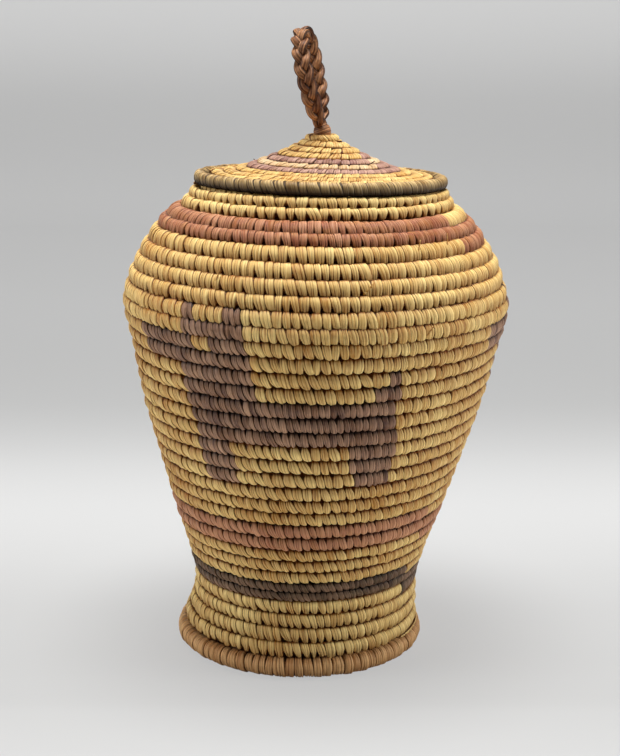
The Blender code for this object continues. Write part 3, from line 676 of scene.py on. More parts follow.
def stitch_places(columns, frame_at, seed, closed):
    """Every point as [column, ring, xyz], and the mean half thickness of the bundle."""
    at, across = columns.at, columns.across()
    turn = columns.turn(across)
    centre, outward, rowward, half = frame_at(turn)
    half = (half * swelling(turn, seed, closed))[..., None]
    room = np.minimum(half[..., 0] / FULL_HALF_ROW, 1)
    depth = at("crease") + at("notch") * LOW + at("top_notch") * HIGH
    shingle = OVERLAP_TILT * (across - 0.5) * at("shingle")
    split = columns.split_depth() * (SPLIT_DEPTH + SPLIT_DEEPENING * columns.parted)
    crown = -CROWN_HEIGHT * CROWN[columns.kind][:, None] + split - shingle
    sink = np.where(columns.in_gap, depth, crown) * (OUTSIDE > INSIDE_COSINE)
    rise = (at("proud") - sink) * room
    tip_shape = TIP_SHAPE[columns.kind][:, None] * (1 + at("skew") * (across - 0.5))
    tip = at("tip") * tip_shape * smooth_step(-LIFT, *TIP_RANGE) * room * (OUTSIDE > TIP_COSINE)
    radial = outward * OUTSIDE[:, None] + rowward * LIFT[:, None]
    side_share, up_share = squared_off(OUTSIDE, SECTION_POWER), squared_off(LIFT, SECTION_POWER)
    places = (centre + outward * half * at("thick")[..., None] * side_share[:, None]
              + rowward * half * at("overlap")[..., None] * up_share[:, None]
              + radial * rise[..., None] - rowward * tip[..., None])
    places[..., 2] = np.maximum(places[..., 2], 0)
    if closed:
        places[-1] = places[0]
    else:
        # The first end is a little smaller than the end of the band before it, and fits inside it.
        places[0] = places[0].mean(0) * END_PINCH + places[0] * (1 - END_PINCH)
    return places, float(half.mean())


print("a bundle swells and thins by", round((SWELL + RIPPLE) * 100, 1), "percent at the most")

# %% [markdown]
# ## What the stitch material reads
#
# A crease is painted in shade, and darker still where it opens into a notch. A split is painted
# nearly as dark. The groove between two rows is painted in shade all along, and the raised edges of
# the strips get a painted highlight.

# %% Mark and sew a coil
# How dark the painted shade in creases and splits is, and how much darker it gets where the strip parts.
CREASE_SHADE, CREASE_DARKENING, SPLIT_SHADE, SPLIT_DARKENING = 0.80, 0.20, 0.75, 0.25
# Where on its row the painted groove shade lies, and how far round to the outside the painted edge
# highlight reaches.
GROOVE_ABOVE, GROOVE_BELOW, EDGE_HIGHLIGHT_RANGE = (0.56, 0.84), (0.80, 0.97), (-0.2, 0.5)
# How much painted highlight each column of a stitch gets on its raised edge.
EDGE_HIGHLIGHT_SHARES = np.array((0, 0, 0.5, 0.1, 0, 0.6, 0.4, 0, 0.6, 1.0, 0))


def stitch_marks(columns):
    """How much painted shade each point gets, negative for a painted highlight, and how high on its row."""
    parted = columns.parted
    # Painted shade in creases, notches, splits and the groove between rows.
    crease = np.where(columns.in_gap, CREASE_SHADE + CREASE_DARKENING * parted,
                      (columns.split_depth() > 0) * (SPLIT_SHADE + SPLIT_DARKENING * parted))
    groove = smooth_step(LIFT, *GROOVE_ABOVE) + smooth_step(-LIFT, *GROOVE_BELOW)
    painted_shading = np.clip(np.maximum(crease, groove * columns.at("groove")), 0, 1)
    # A painted highlight on the raised edges, on the outside of the bundle.
    painted_shading = painted_shading - EDGE_HIGHLIGHT_SHARES[columns.kind][:, None] * (1 - painted_shading) * smooth_step(OUTSIDE, *EDGE_HIGHLIGHT_RANGE)
    return np.stack([painted_shading, LIFT * np.where(columns.at("fall") > 0, 1, -1)], -1)


def sewn_coil(name, frame_at, spans, looks, body, slot, seed, closed=False, nodes=None):
    """A coil or ring covered with shaped stitches. Spans are (start turn, end turn, dye)."""
    rng = np.random.default_rng(seed)
    edges, dyes = lay_out(frame_at, spans, looks, rng)
    fact = stitch_facts(dyes, looks, rng)
    fact["span"] = np.diff(edges)
    columns = Columns(fact, edges, closed)
    places, half = stitch_places(columns, frame_at, seed, closed)
    middle = places[:, len(RING) // 2]
    along = np.concatenate([[0], np.cumsum(np.linalg.norm(np.diff(middle, axis=0), axis=1))])
    face_tones = np.repeat(fact["bright"], COLUMNS)
    face_dyes = [dye for dye in dyes for _ in range(COLUMNS)]
    rolled_tube(name, places, stitch_marks(columns), face_tones, face_dyes, (along[:, None], RING * half),
                closed, body, slot, nodes or [name.replace("_sewn", "_coil")])
    return len(dyes)


print("a crease is", CREASE_SHADE, "of the way to the colour of the groove")

# %% [markdown]
# ## The animal figures
#
# The wall carries three stepped animals, one every third of the way round, all walking the same
# way. Each is drawn row by row from its feet up, in degrees from the front to the right, as the
# maker would count it in stitches. Only whole stitches are dyed, so every edge falls in a crease.

# %% Rows of the stepped figure
FIGURE_ROWS = {
    14: ((-39, -26.5), (15, 27.5)), 15: ((-39.5, -26), (12.5, 27.5)), 16: ((-40, -27.5), (12, 28)),
    17: ((-39.5, 27.5),), 18: ((-40.5, 26),), 19: ((-42, 25),), 20: ((-42.5, -17.5), (18, 26.5)),
    21: ((-42.5, -18.5), (22, 25.5)), 22: ((-58.5, -18.5),), 23: ((-60, -37), (-31, -20)),
    24: ((-40.5, -20.5),), 25: ((-41, -37), (-27, -21.5)),
}
FIGURE_OFFSETS = (0, 1 / 3, -1 / 3)
FIGURE_TURNS = sorted(
    (row + 0.5 + start / 360 + offset, row + 0.5 + end / 360 + offset)
    for row, stretches in FIGURE_ROWS.items() for start, end in stretches for offset in FIGURE_OFFSETS
)


def dyed_spans(start, end, dye):
    """A band's stretches between start and end, with the figure's stretches dyed aubergine."""
    spans = []
    for left, right in FIGURE_TURNS:
        left, right = max(left, start), min(right, end)
        if left < right:
            if left > start:
                spans.append((start, left, dye))
            spans.append((left, right, "plum"))
            start = right
    if start < end:
        spans.append((start, end, dye))
    return spans


print(len(FIGURE_TURNS), "dyed stretches")

# %% [markdown]
# ## The wall
#
# The bands are whole turns of the one spiral. The stitches are widest round the neck, where they
# look like kernels of maize, and finest in the figures and the dark rows above the foot.

# %% Sew the wall
FINE = dict(BASIC, width=0.0036, split=0.00020, tone=0.19)
WALL_LOOKS = {
    "foot_coil": dict(HIGH_WALL, width=0.0047, slant=0.20, bright=0.62),
    "brown_band_coil": dict(FINE, width=0.0038, slant=0.30),
    "lower_wall_coil": dict(BASIC, width=0.0046, slant=0.26),
    "lower_rose_band_coil": dict(BASIC, width=0.0043, slant=0.22, bright=0.64),
    "middle_wall_coil": dict(BASIC, width=0.0046, slant=0.22, top_gap=0.16, bright=0.44),
    "figure_head_coil": dict(BASIC, slant=0.16, top_gap=0.07, low_gap=0.06, top_notch=0.0006,
                             notch=0.0006),
    "upper_wall_coil": dict(HIGH_WALL, width=0.0052, jitter=0.30, low_gap=0.09),
    "shoulder_rose_band_coil": dict(HIGH_WALL, width=0.0048, slant=0.12, low_gap=0.09, tone=0.15,
                                    bright=0.36),
    "neck_coil": dict(HIGH_WALL, width=0.0060, slant=0.10, top_gap=0.0, low_gap=0.13, notch=0.0005,
                      tip=0.0014, bright=0.66, groove=0.45),
}
TAIL_TURNS = 14 / 24
turn = FIRST_TURN
for number, (node, turns, _, dye) in enumerate(WALL_BANDS):
    last_turn = turn + turns + (TAIL_TURNS if node == "neck_coil" else 0)
    looks = {dye: WALL_LOOKS.get(node, BASIC), "plum": FINE}
    slot = "plum" if node.startswith("figure") else dye
    count = sewn_coil(node.replace("_coil", "_sewn"), wall_spiral, dyed_spans(turn, last_turn, dye), looks,
                      "basket", slot, seed=number + WALL_SEED)
    print(f"{node}: {count} stitches")
    turn = last_turn

# %% [markdown]
# ## The lid
#
# The lid is a smaller spiral, coned up to the eye. The maker changed strips inside the mauve bands,
# so the first row of the inner one is straw, and so is the front half of the outer one's last row.

# %% Sew the lid
PALE_FRONT_TURNS = 0.52
LID_LOOK = dict(HIGH_WALL, width=0.0048, slant=0.24, notch=0.0008, tip=0.0009)
PALE_LID_LOOK = dict(LID_LOOK, low_gap=0.25, notch=0.0012, width=0.0056)
turn = FIRST_TURN
for number, (node, turns, _, dye) in enumerate(LID_BANDS):
    last_turn = turn + turns + (TAIL_TURNS if node == "lid_outer_coil" else 0)
    spans = [(turn, last_turn, dye)]
    if node == "lid_inner_mauve_coil":
        spans = [(turn, turn + 1, "straw"), (turn + 1, last_turn, dye)]
    if node == "lid_outer_mauve_coil":
        pale_turn = last_turn - PALE_FRONT_TURNS
        spans = [(turn, pale_turn, dye), (pale_turn, last_turn, "straw")]
    looks = {"straw": LID_LOOK, "mauve": LID_LOOK, "cream": PALE_LID_LOOK}
    count = sewn_coil(node.replace("_coil", "_sewn"), lid_spiral, spans, looks, "lid", dye,
                      seed=number + LID_SEED)
    print(f"{node}: {count} stitches")
    turn = last_turn

# %% [markdown]
# ## Rolls and rings
#
# Four bundles are closed rings instead of spirals. The rim of the lid is a roll wrapped with strips
# that lie almost flat, many of them split in two or three. The roll under the foot is wrapped with
# wide strips, notched at the top where the first row is sewn through them. A ring binds the eye, and
# a hidden one inside the neck, as large as the slope of the neck allows, carries the lid.

# %% Wrap the rolls and rings
LID_ROLL_LOOK = dict(HIGH_WALL, width=0.0050, mid_gap=0.05, top_gap=0.02, low_gap=0.02, crease=0.00024,
                     notch=0.0001, top_notch=0.0001, tip=0, slant=0.25, proud=0.00012, tone=0.16,
                     overlap=1.0, jitter=0.45, split=0.00020, groove=0)
FOOT_ROLL_LOOK = dict(HIGH_WALL, width=0.0052, mid_gap=0.04, top_gap=0.05, low_gap=0.01, crease=0.0005,
                      notch=0.0001, top_notch=0.0008, tip=0, slant=0.06, lean=0.08, proud=0.00022,
                      overlap=1.0, jitter=0.40, groove=0.4, bright=0.60)
EYE_RING_LOOK = dict(LID_LOOK, width=0.0046, overlap=0.93, thick=0.93, groove=0.3)
SEAT_LOOK = dict(HIGH_WALL, overlap=1.0, tip=0.0005, groove=0)
SEAT_COIL_RADIUS, COIL_SIDES, COIL_GAP = 0.0030, 6, 0.0006
roll_centre = LID_ROLL_OUTER_RADIUS - LID_ROLL_RADIUS
low_edge, high_edge = (np.array(wall_edge(np.array(float(row)))) for row in (WALL_TURNS - 1, WALL_TURNS))
mouth_row = high_edge - low_edge
mouth_thickness = (np.hypot(*mouth_row) - COIL_GAP) / math.cos(math.pi / COIL_SIDES)
neck_inside = (low_edge[0] + high_edge[0] - mouth_row[1] - mouth_thickness) / 2
seat_radius = neck_inside - SEAT_COIL_RADIUS - SEAT_GAP
seat_reach = LID_ROLL_RADIUS + SEAT_COIL_RADIUS + SEAT_GAP
seat_drop = math.sqrt(seat_reach ** 2 - (seat_radius - roll_centre) ** 2)
eye_height = LID_TOP_EDGE + LID_RISE + EYE_RING_LIFT - EYE_RING_RADIUS
# Name, node, radius of the ring, height, half thickness, look, body and dye.
RINGS = (
    ("lid_rim_roll_wrap", "lid_rim_roll", roll_centre, LID_ROLL_HEIGHT, LID_ROLL_RADIUS, LID_ROLL_LOOK,
     "lid", "olive"),
    ("foot_roll_wrap", "foot_roll", FOOT_ROLL_OUTER_RADIUS - FOOT_ROLL_RADIUS, FOOT_ROLL_HALF_HEIGHT,
     FOOT_ROLL_HALF_HEIGHT, FOOT_ROLL_LOOK, "basket", "foot_tan"),
    ("lid_eye_ring_wrap", "lid_eye_ring", EYE_RING_CENTRE_RADIUS, eye_height, EYE_RING_RADIUS,
     EYE_RING_LOOK, "lid", "straw"),
    ("lid_seat_wrap", "lid_seat_coil", seat_radius, LID_ROLL_HEIGHT - seat_drop, SEAT_COIL_RADIUS,
     SEAT_LOOK, "basket", "straw"),
)
for number, (name, node, radius, height, thickness, look, body, dye) in enumerate(RINGS):
    count = sewn_coil(name, hoop(radius, height, thickness), [(0, 1, dye)], {dye: look}, body, dye,
                      seed=number + RING_SEED, closed=True, nodes=[node])
    print(f"{name}: {count} wraps")

# %% [markdown]
# ## The base
#
# The base is a flat spiral inside the foot roll. It is seen only from underneath, so its stitches
# are plain and wide.

# %% Sew the base
BASE_TAIL_TURNS = 10 / 16
BASE_LOOK = dict(HIGH_WALL, width=0.0062)
base_end = FIRST_TURN + BASE_TURNS + BASE_TAIL_TURNS
count = sewn_coil("base_sewn", base_spiral, [(FIRST_TURN, base_end, "straw")], {"straw": BASE_LOOK},
                  "basket", "straw", seed=BASE_SEED)
print(f"base: {count} stitches")

# %% [markdown]
# ## The plaited handle
#
# Three flat bundles of leaf are plaited and bent into a loop. A strand weaves once across the plait
# while it goes twice in and out, which is what makes every strand pass over, then under, its
# neighbours. The strands cross every 9 mm. Each is a flat bundle with fine ridges along it, swept
# along that path. Both roots of the loop are narrower and run a little way into the knot.

# %% Plait the handle
KNOT_RADIUS, EYE_GAP = 0.0056, 0.0004
PLAIT_HALF_WIDTH, PLAIT_HALF_DEPTH, PLAIT_PERIOD, PLAIT_ROOT_LENGTH = 0.0030, 0.0022, 0.0270, 0.0120
PLAIT_ROOT_SHARE, STRAND_ROOT_SHARE, PLAIT_OPENING_POWER = 0.65, 0.45, 0.7
LOOP_HEIGHT, LOOP_HALF_WIDTH, ROOT_OVERLAP = 0.0585, 0.0150, 0.0012
LOOP_YAW, LOOP_LEAN = math.radians(-13), math.radians(-12)
STRAND_HALF_WIDTH, STRAND_HALF_THICKNESS = 0.0026, 0.0014
STRAND_STEPS_PER_PERIOD, STRAND_SIDES, STRAND_RIDGES, STRAND_POWER = 44, 36, 5, 2.3
STRAND_RIDGE_HEIGHT, STRAND_DRIFT, DRIFT_STATIONS = 0.00030, 0.5, 9
STRAND_WAVE, STRAND_WAVE_LENGTH = 0.05, 0.004
# A strand's height on its row is set high enough that no painted row shade falls on it.
STRAND_TONES, TONE_STATIONS, STRAND_LIFT, GIRTH_SHARE = (0.0, 0.80), 12, 0.4, 0.8
# Painted shade in a strand's ridges and on its narrow sides, where strands meet, and a painted highlight on
# its ridge crests.
RIDGE_SHADE, SIDE_SHADE, RIDGE_HIGHLIGHT = 0.8, 0.9, 0.6
# The largest value of sin(a) * sin(a / 2), which draws the teardrop.
WIDEST_SHARE = 4 / (3 * math.sqrt(3))
LOOP_SAMPLES = 2000
knot_reach = KNOT_RADIUS + EYE_RING_RADIUS + EYE_GAP
knot_height = eye_height + math.sqrt(knot_reach ** 2 - EYE_RING_CENTRE_RADIUS ** 2)
knot_centre = Vector(settle(np.array(0.0), np.array(0.0), np.array(knot_height)))
handle_turn = Matrix.Rotation(LOOP_YAW, 4, "Z") @ Matrix.Rotation(LOOP_LEAN, 4, "Y")
handle_place = Matrix.Translation(knot_centre) @ handle_turn


def loop_axis():
    """Even steps round the teardrop loop: across, up and along."""
    swell = LOOP_HALF_WIDTH / WIDEST_SHARE
    start = math.acos(1 - 2 * (KNOT_RADIUS - ROOT_OVERLAP) / LOOP_HEIGHT)
    angles = np.linspace(start, 2 * math.pi - start, LOOP_SAMPLES)
    across, up = -swell * np.sin(angles) * np.sin(angles / 2), LOOP_HEIGHT * (1 - np.cos(angles)) / 2
    length = np.concatenate([[0], np.cumsum(np.hypot(np.diff(across), np.diff(up)))])
    even = np.linspace(0, length[-1], round(length[-1] / PLAIT_PERIOD * STRAND_STEPS_PER_PERIOD) + 1)
    return np.interp(even, length, across), np.interp(even, length, up), even


def swept_strand(name, path, face, half_width, half_thickness, seed, nodes=(), body="handle",
                 dye="reed_brown", ridge_height=STRAND_RIDGE_HEIGHT):
    """A flat bundle along a path; face is the direction that its flat side looks in."""
    rng = np.random.default_rng(seed)
    tangent = unit(np.gradient(path, axis=0))
    broad = unit(np.cross(tangent, face))
    flat_side = np.cross(broad, tangent)
    ring = np.linspace(-math.pi, math.pi, STRAND_SIDES + 1)
    steps = len(path)
    along = np.concatenate([[0], np.cumsum(np.linalg.norm(np.diff(path, axis=0), axis=1))])
    stations = np.linspace(0, along[-1], DRIFT_STATIONS)
    drifts = rng.uniform(-STRAND_DRIFT, STRAND_DRIFT, DRIFT_STATIONS)
    drift = np.interp(along, stations, drifts)[:, None]
    ridge = 1 - np.abs(np.cos(STRAND_RIDGES * (ring[None, :] + drift)))
    out = -ridge_height * ridge ** 2
    side_share, up_share = squared_off(np.cos(ring), STRAND_POWER), squared_off(np.sin(ring), STRAND_POWER)
    width = np.broadcast_to(half_width, (steps,))[:, None]
    thick = np.broadcast_to(half_thickness, (steps,))[:, None]
    wave = 1 + STRAND_WAVE * np.sin(along / STRAND_WAVE_LENGTH + seed)[:, None]
    places = (path[:, None] + broad[:, None] * ((width * wave + out) * side_share)[..., None]
              + flat_side[:, None] * ((thick * wave + out) * up_share)[..., None])
    places[:, -1] = places[:, 0]
    # Painted shade in the ridges and on the narrow sides, and a painted highlight on the crests.
    painted_shading = np.clip(ridge ** 3 * RIDGE_SHADE + SIDE_SHADE * np.abs(np.cos(ring))[None, :] ** 4, 0, 1)
    painted_shading = painted_shading - RIDGE_HIGHLIGHT * (1 - painted_shading) * (1 - ridge) ** 2
    weave = np.stack([painted_shading, np.broadcast_to(STRAND_LIFT, painted_shading.shape)], -1)
    stations = np.linspace(0, steps - 2, TONE_STATIONS)
    tones = np.interp(np.arange(steps - 1), stations, rng.uniform(*STRAND_TONES, TONE_STATIONS))
    around = ring * float(np.mean(half_width)) * GIRTH_SHARE
    return rolled_tube(name, places, weave, tones, [dye] * (steps - 1), (around, along[:, None]),
                       False, body, dye, nodes)


def to_world(local):
    turned = np.array(handle_place)
    return local @ turned[:3, :3].T + turned[:3, 3]


loop_across, loop_up, loop_along = loop_axis()
loop_tangent = unit(np.stack([np.gradient(loop_across), np.gradient(loop_up)], -1))
loop_normal = np.stack([-loop_tangent[:, 1], loop_tangent[:, 0]], -1)
from_end = np.minimum(loop_along, loop_along[-1] - loop_along) / PLAIT_ROOT_LENGTH
open_share = np.clip(from_end, 0, 1) ** PLAIT_OPENING_POWER
plait_width = PLAIT_HALF_WIDTH * (PLAIT_ROOT_SHARE + (1 - PLAIT_ROOT_SHARE) * open_share)
strand_width = STRAND_HALF_WIDTH * (STRAND_ROOT_SHARE + (1 - STRAND_ROOT_SHARE) * open_share)
face_local = np.stack([np.zeros(len(loop_along)), loop_normal[:, 0], loop_normal[:, 1]], -1)
face_world = face_local @ np.array(handle_turn)[:3, :3].T
for number in range(3):
    phase = 2 * math.pi * (loop_along / PLAIT_PERIOD + number / 3)
    inward = PLAIT_HALF_DEPTH * np.sin(2 * phase)
    local = np.stack([plait_width * np.sin(phase), loop_across + inward * loop_normal[:, 0],
                      loop_up + inward * loop_normal[:, 1]], -1)
    swept_strand(f"handle_plait_{number + 1}", to_world(local), face_world, strand_width,
                 STRAND_HALF_THICKNESS, PLAIT_SEED + number, [f"handle_strand_{number + 1}"])
print(f"the plait is {loop_along[-1] * 1000:.0f} mm long round the loop")

# %% [markdown]
# ## The knot under the loop
#
# The ends of the plait are bound where they pass through the eye of the lid. The binding is one
# strand wound into a small ball, so it is swept along a spiral that runs from one pole to the other.

# %% Wind the knot
KNOT_WINDS, KNOT_STEPS, KNOT_START_ANGLE, KNOT_END_ANGLE = 3.4, 220, 0.35, 0.12
KNOT_HALF_WIDTH, KNOT_HALF_THICKNESS, KNOT_SINK = 0.0021, 0.0010, 0.0003
pole_angle = np.linspace(KNOT_START_ANGLE, math.pi - KNOT_END_ANGLE, KNOT_STEPS)
wind_angle = np.linspace(0, KNOT_WINDS * 2 * math.pi, KNOT_STEPS)
wind_radius = KNOT_RADIUS - KNOT_HALF_THICKNESS - KNOT_SINK
knot_face = np.stack([np.sin(pole_angle) * np.cos(wind_angle), np.sin(pole_angle) * np.sin(wind_angle),
                      -np.cos(pole_angle)], -1)
turned = np.array(handle_turn)[:3, :3].T
swept_strand("handle_knot_binding", to_world(knot_face * wind_radius), knot_face @ turned,
             KNOT_HALF_WIDTH, KNOT_HALF_THICKNESS, KNOT_SEED, ["handle_knot"])
print("the binding goes", KNOT_WINDS, "times round the knot")

# %% [markdown]
# ## The start of the base
#
# The base starts from a small tied knot of grass. A rounded knob does for it, as it is seen only
# from underneath.

# %% Shape the starting knot
SWIRLS, SWIRL_TWIST, SWIRL_DEPTH = 3, 4, 0.10
start_low, start_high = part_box("base_start_knot")
bm = bmesh.new()
bmesh.ops.create_icosphere(bm, subdivisions=4, radius=1)
for vert in bm.verts:
    swirl = math.atan2(vert.co.y, vert.co.x) * SWIRLS + vert.co.z * SWIRL_TWIST
    vert.co *= 1 - SWIRL_DEPTH * (1 - abs(math.sin(swirl))) ** 2
bmesh.ops.scale(bm, vec=(start_high - start_low) / 2, verts=bm.verts)
bmesh.ops.translate(bm, vec=(start_high + start_low) / 2, verts=bm.verts)
mesh = bpy.data.meshes.new("base_start_binding")
bm.to_mesh(mesh)
bm.free()
mesh.shade_smooth()
mesh.materials.append(STITCHES["straw"])
start_knot = bpy.data.objects.new("base_start_binding", mesh)
bpy.context.collection.objects.link(start_knot)
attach(start_knot, "basket")
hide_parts("base_start_knot")
print("the starting knot is", round((start_high - start_low)[0] * 1000, 1), "mm wide")

# %% [markdown]
# ## Loose ends
#
# Where a strip ran out, the maker tucked its end under the next stitches. A few ends have worked
# loose: mostly pale ones on the wall, and two dark tufts on the left of the lid. Each is a thin
# tapering strip that starts in a groove between two rows and curls away from it.

# %% Add the loose ends
LOOSE_STEPS, LOOSE_HALF_WIDTH, LOOSE_HALF_THICKNESS, LOOSE_RIDGE = 9, 0.0008, 0.00028, 0.00006
LOOSE_START_SHARE, LOOSE_OUT_SHARE, LOOSE_LOW_SHARE, LOOSE_TAPER = 0.55, 0.55, 0.9, 0.7
# Spiral, row, degrees from the front, travel along the row, climb in half rows, rise at the tip, dye.
LOOSE_ENDS = (
    ("wall", 29.25, -43, 0.0022, 2.4, 0.0016, "straw"), ("wall", 29.2, -39, 0.0036, 2.0, 0.0012, "straw"),
    ("wall", 27.0, 13, 0.0055, 1.2, 0.0010, "straw"), ("wall", 26.6, 16, -0.0040, 2.2, 0.0012, "plum"),
    ("wall", 32.5, -13, 0.0040, 1.9, 0.0010, "straw"), ("wall", 30.6, -84, -0.0030, 2.2, 0.0016, "brown"),
    ("wall", 24.0, 31, 0.0045, 1.6, 0.0008, "straw"), ("wall", 13.6, 44, 0.0035, 2.0, 0.0010, "straw"),
    ("wall", 10.4, -28, 0.0030, 1.7, 0.0008, "rose"), ("wall", 20.2, 150, 0.0050, 1.9, 0.0012, "straw"),
    ("wall", 27.3, -140, 0.0040, 2.1, 0.0012, "straw"), ("lid", 4.4, -96, 0.0012, 1.2, 0.0030, "brown"),
    ("lid", 4.3, -90, -0.0014, 1.0, 0.0026, "plum"), ("lid", 6.9, -98, 0.0016, 1.3, 0.0026, "brown"),
    ("lid", 6.7, -104, -0.0010, 1.1, 0.0030, "plum"), ("lid", 8.3, 62, 0.0040, 1.4, 0.0010, "straw"),
)
LOOSE_SPIRALS = {"wall": (wall_spiral, 1, "basket"), "lid": (lid_spiral, -1, "lid")}
share = np.linspace(0, 1, LOOSE_STEPS)
for number, (piece, row, degrees, travel, climb, rise, dye) in enumerate(LOOSE_ENDS, start=1):
    frame_at, side, body = LOOSE_SPIRALS[piece]
    centre, outward, rowward, half = frame_at(np.full(LOOSE_STEPS, row + 0.5 + degrees / 360))
    forward = np.cross(rowward, outward) * side
    stand = half * (LOOSE_START_SHARE + LOOSE_OUT_SHARE * np.sqrt(share)) + rise * share ** 2
    up = half * (climb * share - LOOSE_LOW_SHARE)
    path = (centre + outward * stand[:, None] + rowward * up[:, None]
            + forward * (travel * share)[:, None])
    swept_strand(f"loose_end_{number}", path, outward, LOOSE_HALF_WIDTH * (1 - LOOSE_TAPER * share),
                 LOOSE_HALF_THICKNESS, LOOSE_SEED + number, body=body, dye=dye,
                 ridge_height=LOOSE_RIDGE)
print(len(LOOSE_ENDS), "loose ends")

# %% [markdown]
# ## Floor and backdrop
#
# The basket stands on a pale sheet that curves up behind it. The sheet is one edge, extruded along
# the floor, spun through a quarter turn and extruded again. Its curve lies so far behind that a
# camera can stand between it and the basket, to look at the back.

# %% Sweep the backdrop
FLOOR_FRONT, FLOOR_BACK, SWEEP_RADIUS, WALL_TOP, HALF_SPAN = -2.2, 1.75, 0.30, 2.2, 2.5
SWEEP_STEPS = 24
bm = bmesh.new()
left = bm.verts.new((-HALF_SPAN, FLOOR_FRONT, 0))
right = bm.verts.new((HALF_SPAN, FLOOR_FRONT, 0))
edge = bm.edges.new((left, right))
run = bmesh.ops.extrude_edge_only(bm, edges=[edge])["geom"]
ends = [item for item in run if isinstance(item, bmesh.types.BMVert)]
bmesh.ops.translate(bm, vec=(0, FLOOR_BACK - FLOOR_FRONT, 0), verts=ends)
edges = [item for item in run if isinstance(item, bmesh.types.BMEdge)]
edge = [item for item in edges if all(vert in ends for vert in item.verts)]
swept = bmesh.ops.spin(bm, geom=edge, cent=(0, FLOOR_BACK, SWEEP_RADIUS), axis=(1, 0, 0),
                       angle=math.pi / 2, steps=SWEEP_STEPS, use_merge=False)["geom_last"]
edge = [item for item in swept if isinstance(item, bmesh.types.BMEdge)]
run = bmesh.ops.extrude_edge_only(bm, edges=edge)["geom"]
ends = [item for item in run if isinstance(item, bmesh.types.BMVert)]
bmesh.ops.translate(bm, vec=(0, 0, WALL_TOP), verts=ends)
bmesh.ops.recalc_face_normals(bm, faces=bm.faces)
sheet = bpy.data.meshes.new("backdrop")
bm.to_mesh(sheet)
bm.free()
sheet.shade_smooth()
backdrop = bpy.data.objects.new("backdrop", sheet)
bpy.context.collection.objects.link(backdrop)
backdrop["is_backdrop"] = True
print("the backdrop has", len(sheet.polygons), "faces")

# %% [markdown]
# ## Matt paper
#
# The sheet is matt paper, with a roughness of 0.9 and hardly any sheen. In the photo it is pale in
# front and greyer behind the basket, as the light falls on it. So the camera sees mostly a painted
# glow, a colour ramp of that light and shade along the sweep, and everything else sees plain paper.
# A quarter of the real shading stays, which keeps the shadow under the foot.

# %% Paint the backdrop
# How far along the sweep, as y and z added together in metres, and the grey of the painted light there.
SWEEP_TONES = (
    (-0.3, "#EEEEEE"), (-0.12, "#D3D3D3"), (-0.077, "#CECECE"), (-0.017, "#D1D1D1"), (0.05, "#D6D6D6"),
    (0.128, "#E0E0E0"), (0.266, "#E7E7E7"), (0.41, "#D4D4D4"), (0.573, "#BFBFBF"), (1.099, "#C6C6C6"),
    (1.902, "#C8C8C8"), (2.226, "#C4C4C4"), (2.412, "#DBDBDB"),
)
PAPER, PAPER_ROUGHNESS, PAPER_SHEEN, GLOW_SHARE = "#D4D4D2", 0.9, 0.1, 0.75
paper, tree, shader = new_material("matt paper backdrop")
shader.inputs["Base Color"].default_value = linear(PAPER)
shader.inputs["Roughness"].default_value = PAPER_ROUGHNESS
shader.inputs["Specular IOR Level"].default_value = PAPER_SHEEN
spot = add(tree, "ShaderNodeTexCoord")
parts = add(tree, "ShaderNodeSeparateXYZ", {"Vector": spot.outputs["Object"]})
along_sweep = add(tree, "ShaderNodeMath", {0: parts.outputs["Y"], 1: parts.outputs["Z"]}, operation="ADD")
nearest, farthest = SWEEP_TONES[0][0], SWEEP_TONES[-1][0]
share = add(tree, "ShaderNodeMapRange", {
    "Value": along_sweep.outputs[0], "From Min": nearest, "From Max": farthest})
ramp = add(tree, "ShaderNodeValToRGB", {"Fac": share.outputs["Result"]})
ramp.color_ramp.interpolation = "CARDINAL"
stops = ramp.color_ramp.elements
stops[0].color, stops[-1].color = linear(SWEEP_TONES[0][1]), linear(SWEEP_TONES[-1][1])
for place, tone in SWEEP_TONES[1:-1]:
    stops.new((place - nearest) / (farthest - nearest)).color = linear(tone)
glow = add(tree, "ShaderNodeEmission", {"Color": ramp.outputs["Color"], "Strength": 1})
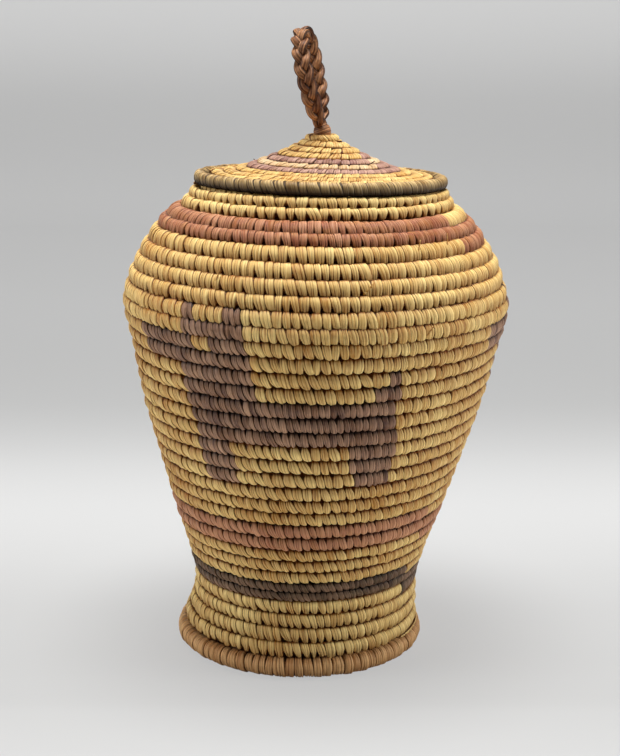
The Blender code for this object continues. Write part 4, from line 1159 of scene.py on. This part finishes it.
ray = add(tree, "ShaderNodeLightPath")
seen = add(tree, "ShaderNodeMath", {0: ray.outputs["Is Camera Ray"], 1: GLOW_SHARE}, operation="MULTIPLY")
blend = add(tree, "ShaderNodeMixShader", {
    "Fac": seen.outputs[0], 1: shader.outputs["BSDF"], 2: glow.outputs["Emission"]})
tree.links.new(blend.outputs["Shader"], tree.nodes["Material Output"].inputs["Surface"])
sheet.materials.append(paper)
print("the paper's tones have", len(stops), "stops")

# %% [markdown]
# ## Light
#
# The light is a large soft one overhead with softer ones at both sides, and little comes from the
# camera, so the middle of the belly is a shade darker than its sides. The room adds a faint grey.

# %% Light it
# Name, place, aim, size in metres and power in watts.
LIGHTS = (
    ("overhead", (0.0, -0.06, 1.5), (0, 0, 0.15), 0.7, 23),
    ("left side", (-1.3, -0.15, 0.6), (0, 0, 0.2), 0.8, 8),
    ("right side", (1.3, -0.15, 0.6), (0, 0, 0.2), 0.8, 9),
)
ROOM_GREY, ROOM_STRENGTH = "#C4C4C4", 0.12
for name, place, aim, size, power in LIGHTS:
    light = bpy.data.lights.new(name, "AREA")
    light.shape = "DISK"
    light.size = size
    light.energy = power
    lamp = bpy.data.objects.new(name, light)
    lamp.location = place
    lamp.rotation_mode = "QUATERNION"
    lamp.rotation_quaternion = (Vector(aim) - Vector(place)).to_track_quat("-Z", "Y")
    bpy.context.collection.objects.link(lamp)
room = bpy.data.worlds.new("room")
room.use_nodes = True
room.node_tree.nodes["Background"].inputs["Color"].default_value = linear(ROOM_GREY)
room.node_tree.nodes["Background"].inputs["Strength"].default_value = ROOM_STRENGTH
bpy.context.scene.world = room
bpy.context.scene.view_settings.view_transform = "Standard"
print(len(LIGHTS), "lights and a grey room")

# %% [markdown]
# ## Finish
#
# The imported model's box and the dressed basket's box are measured, and how much the stitches add
# in x, y and z is printed.

# %% Record the sizes
made_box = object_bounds()
grown = [round((b - a) * 1000, 1) for a, b in zip(cad_box[1] - cad_box[0], made_box[1] - made_box[0])]
print("the stitches add", grown, "mm in x, y and z")
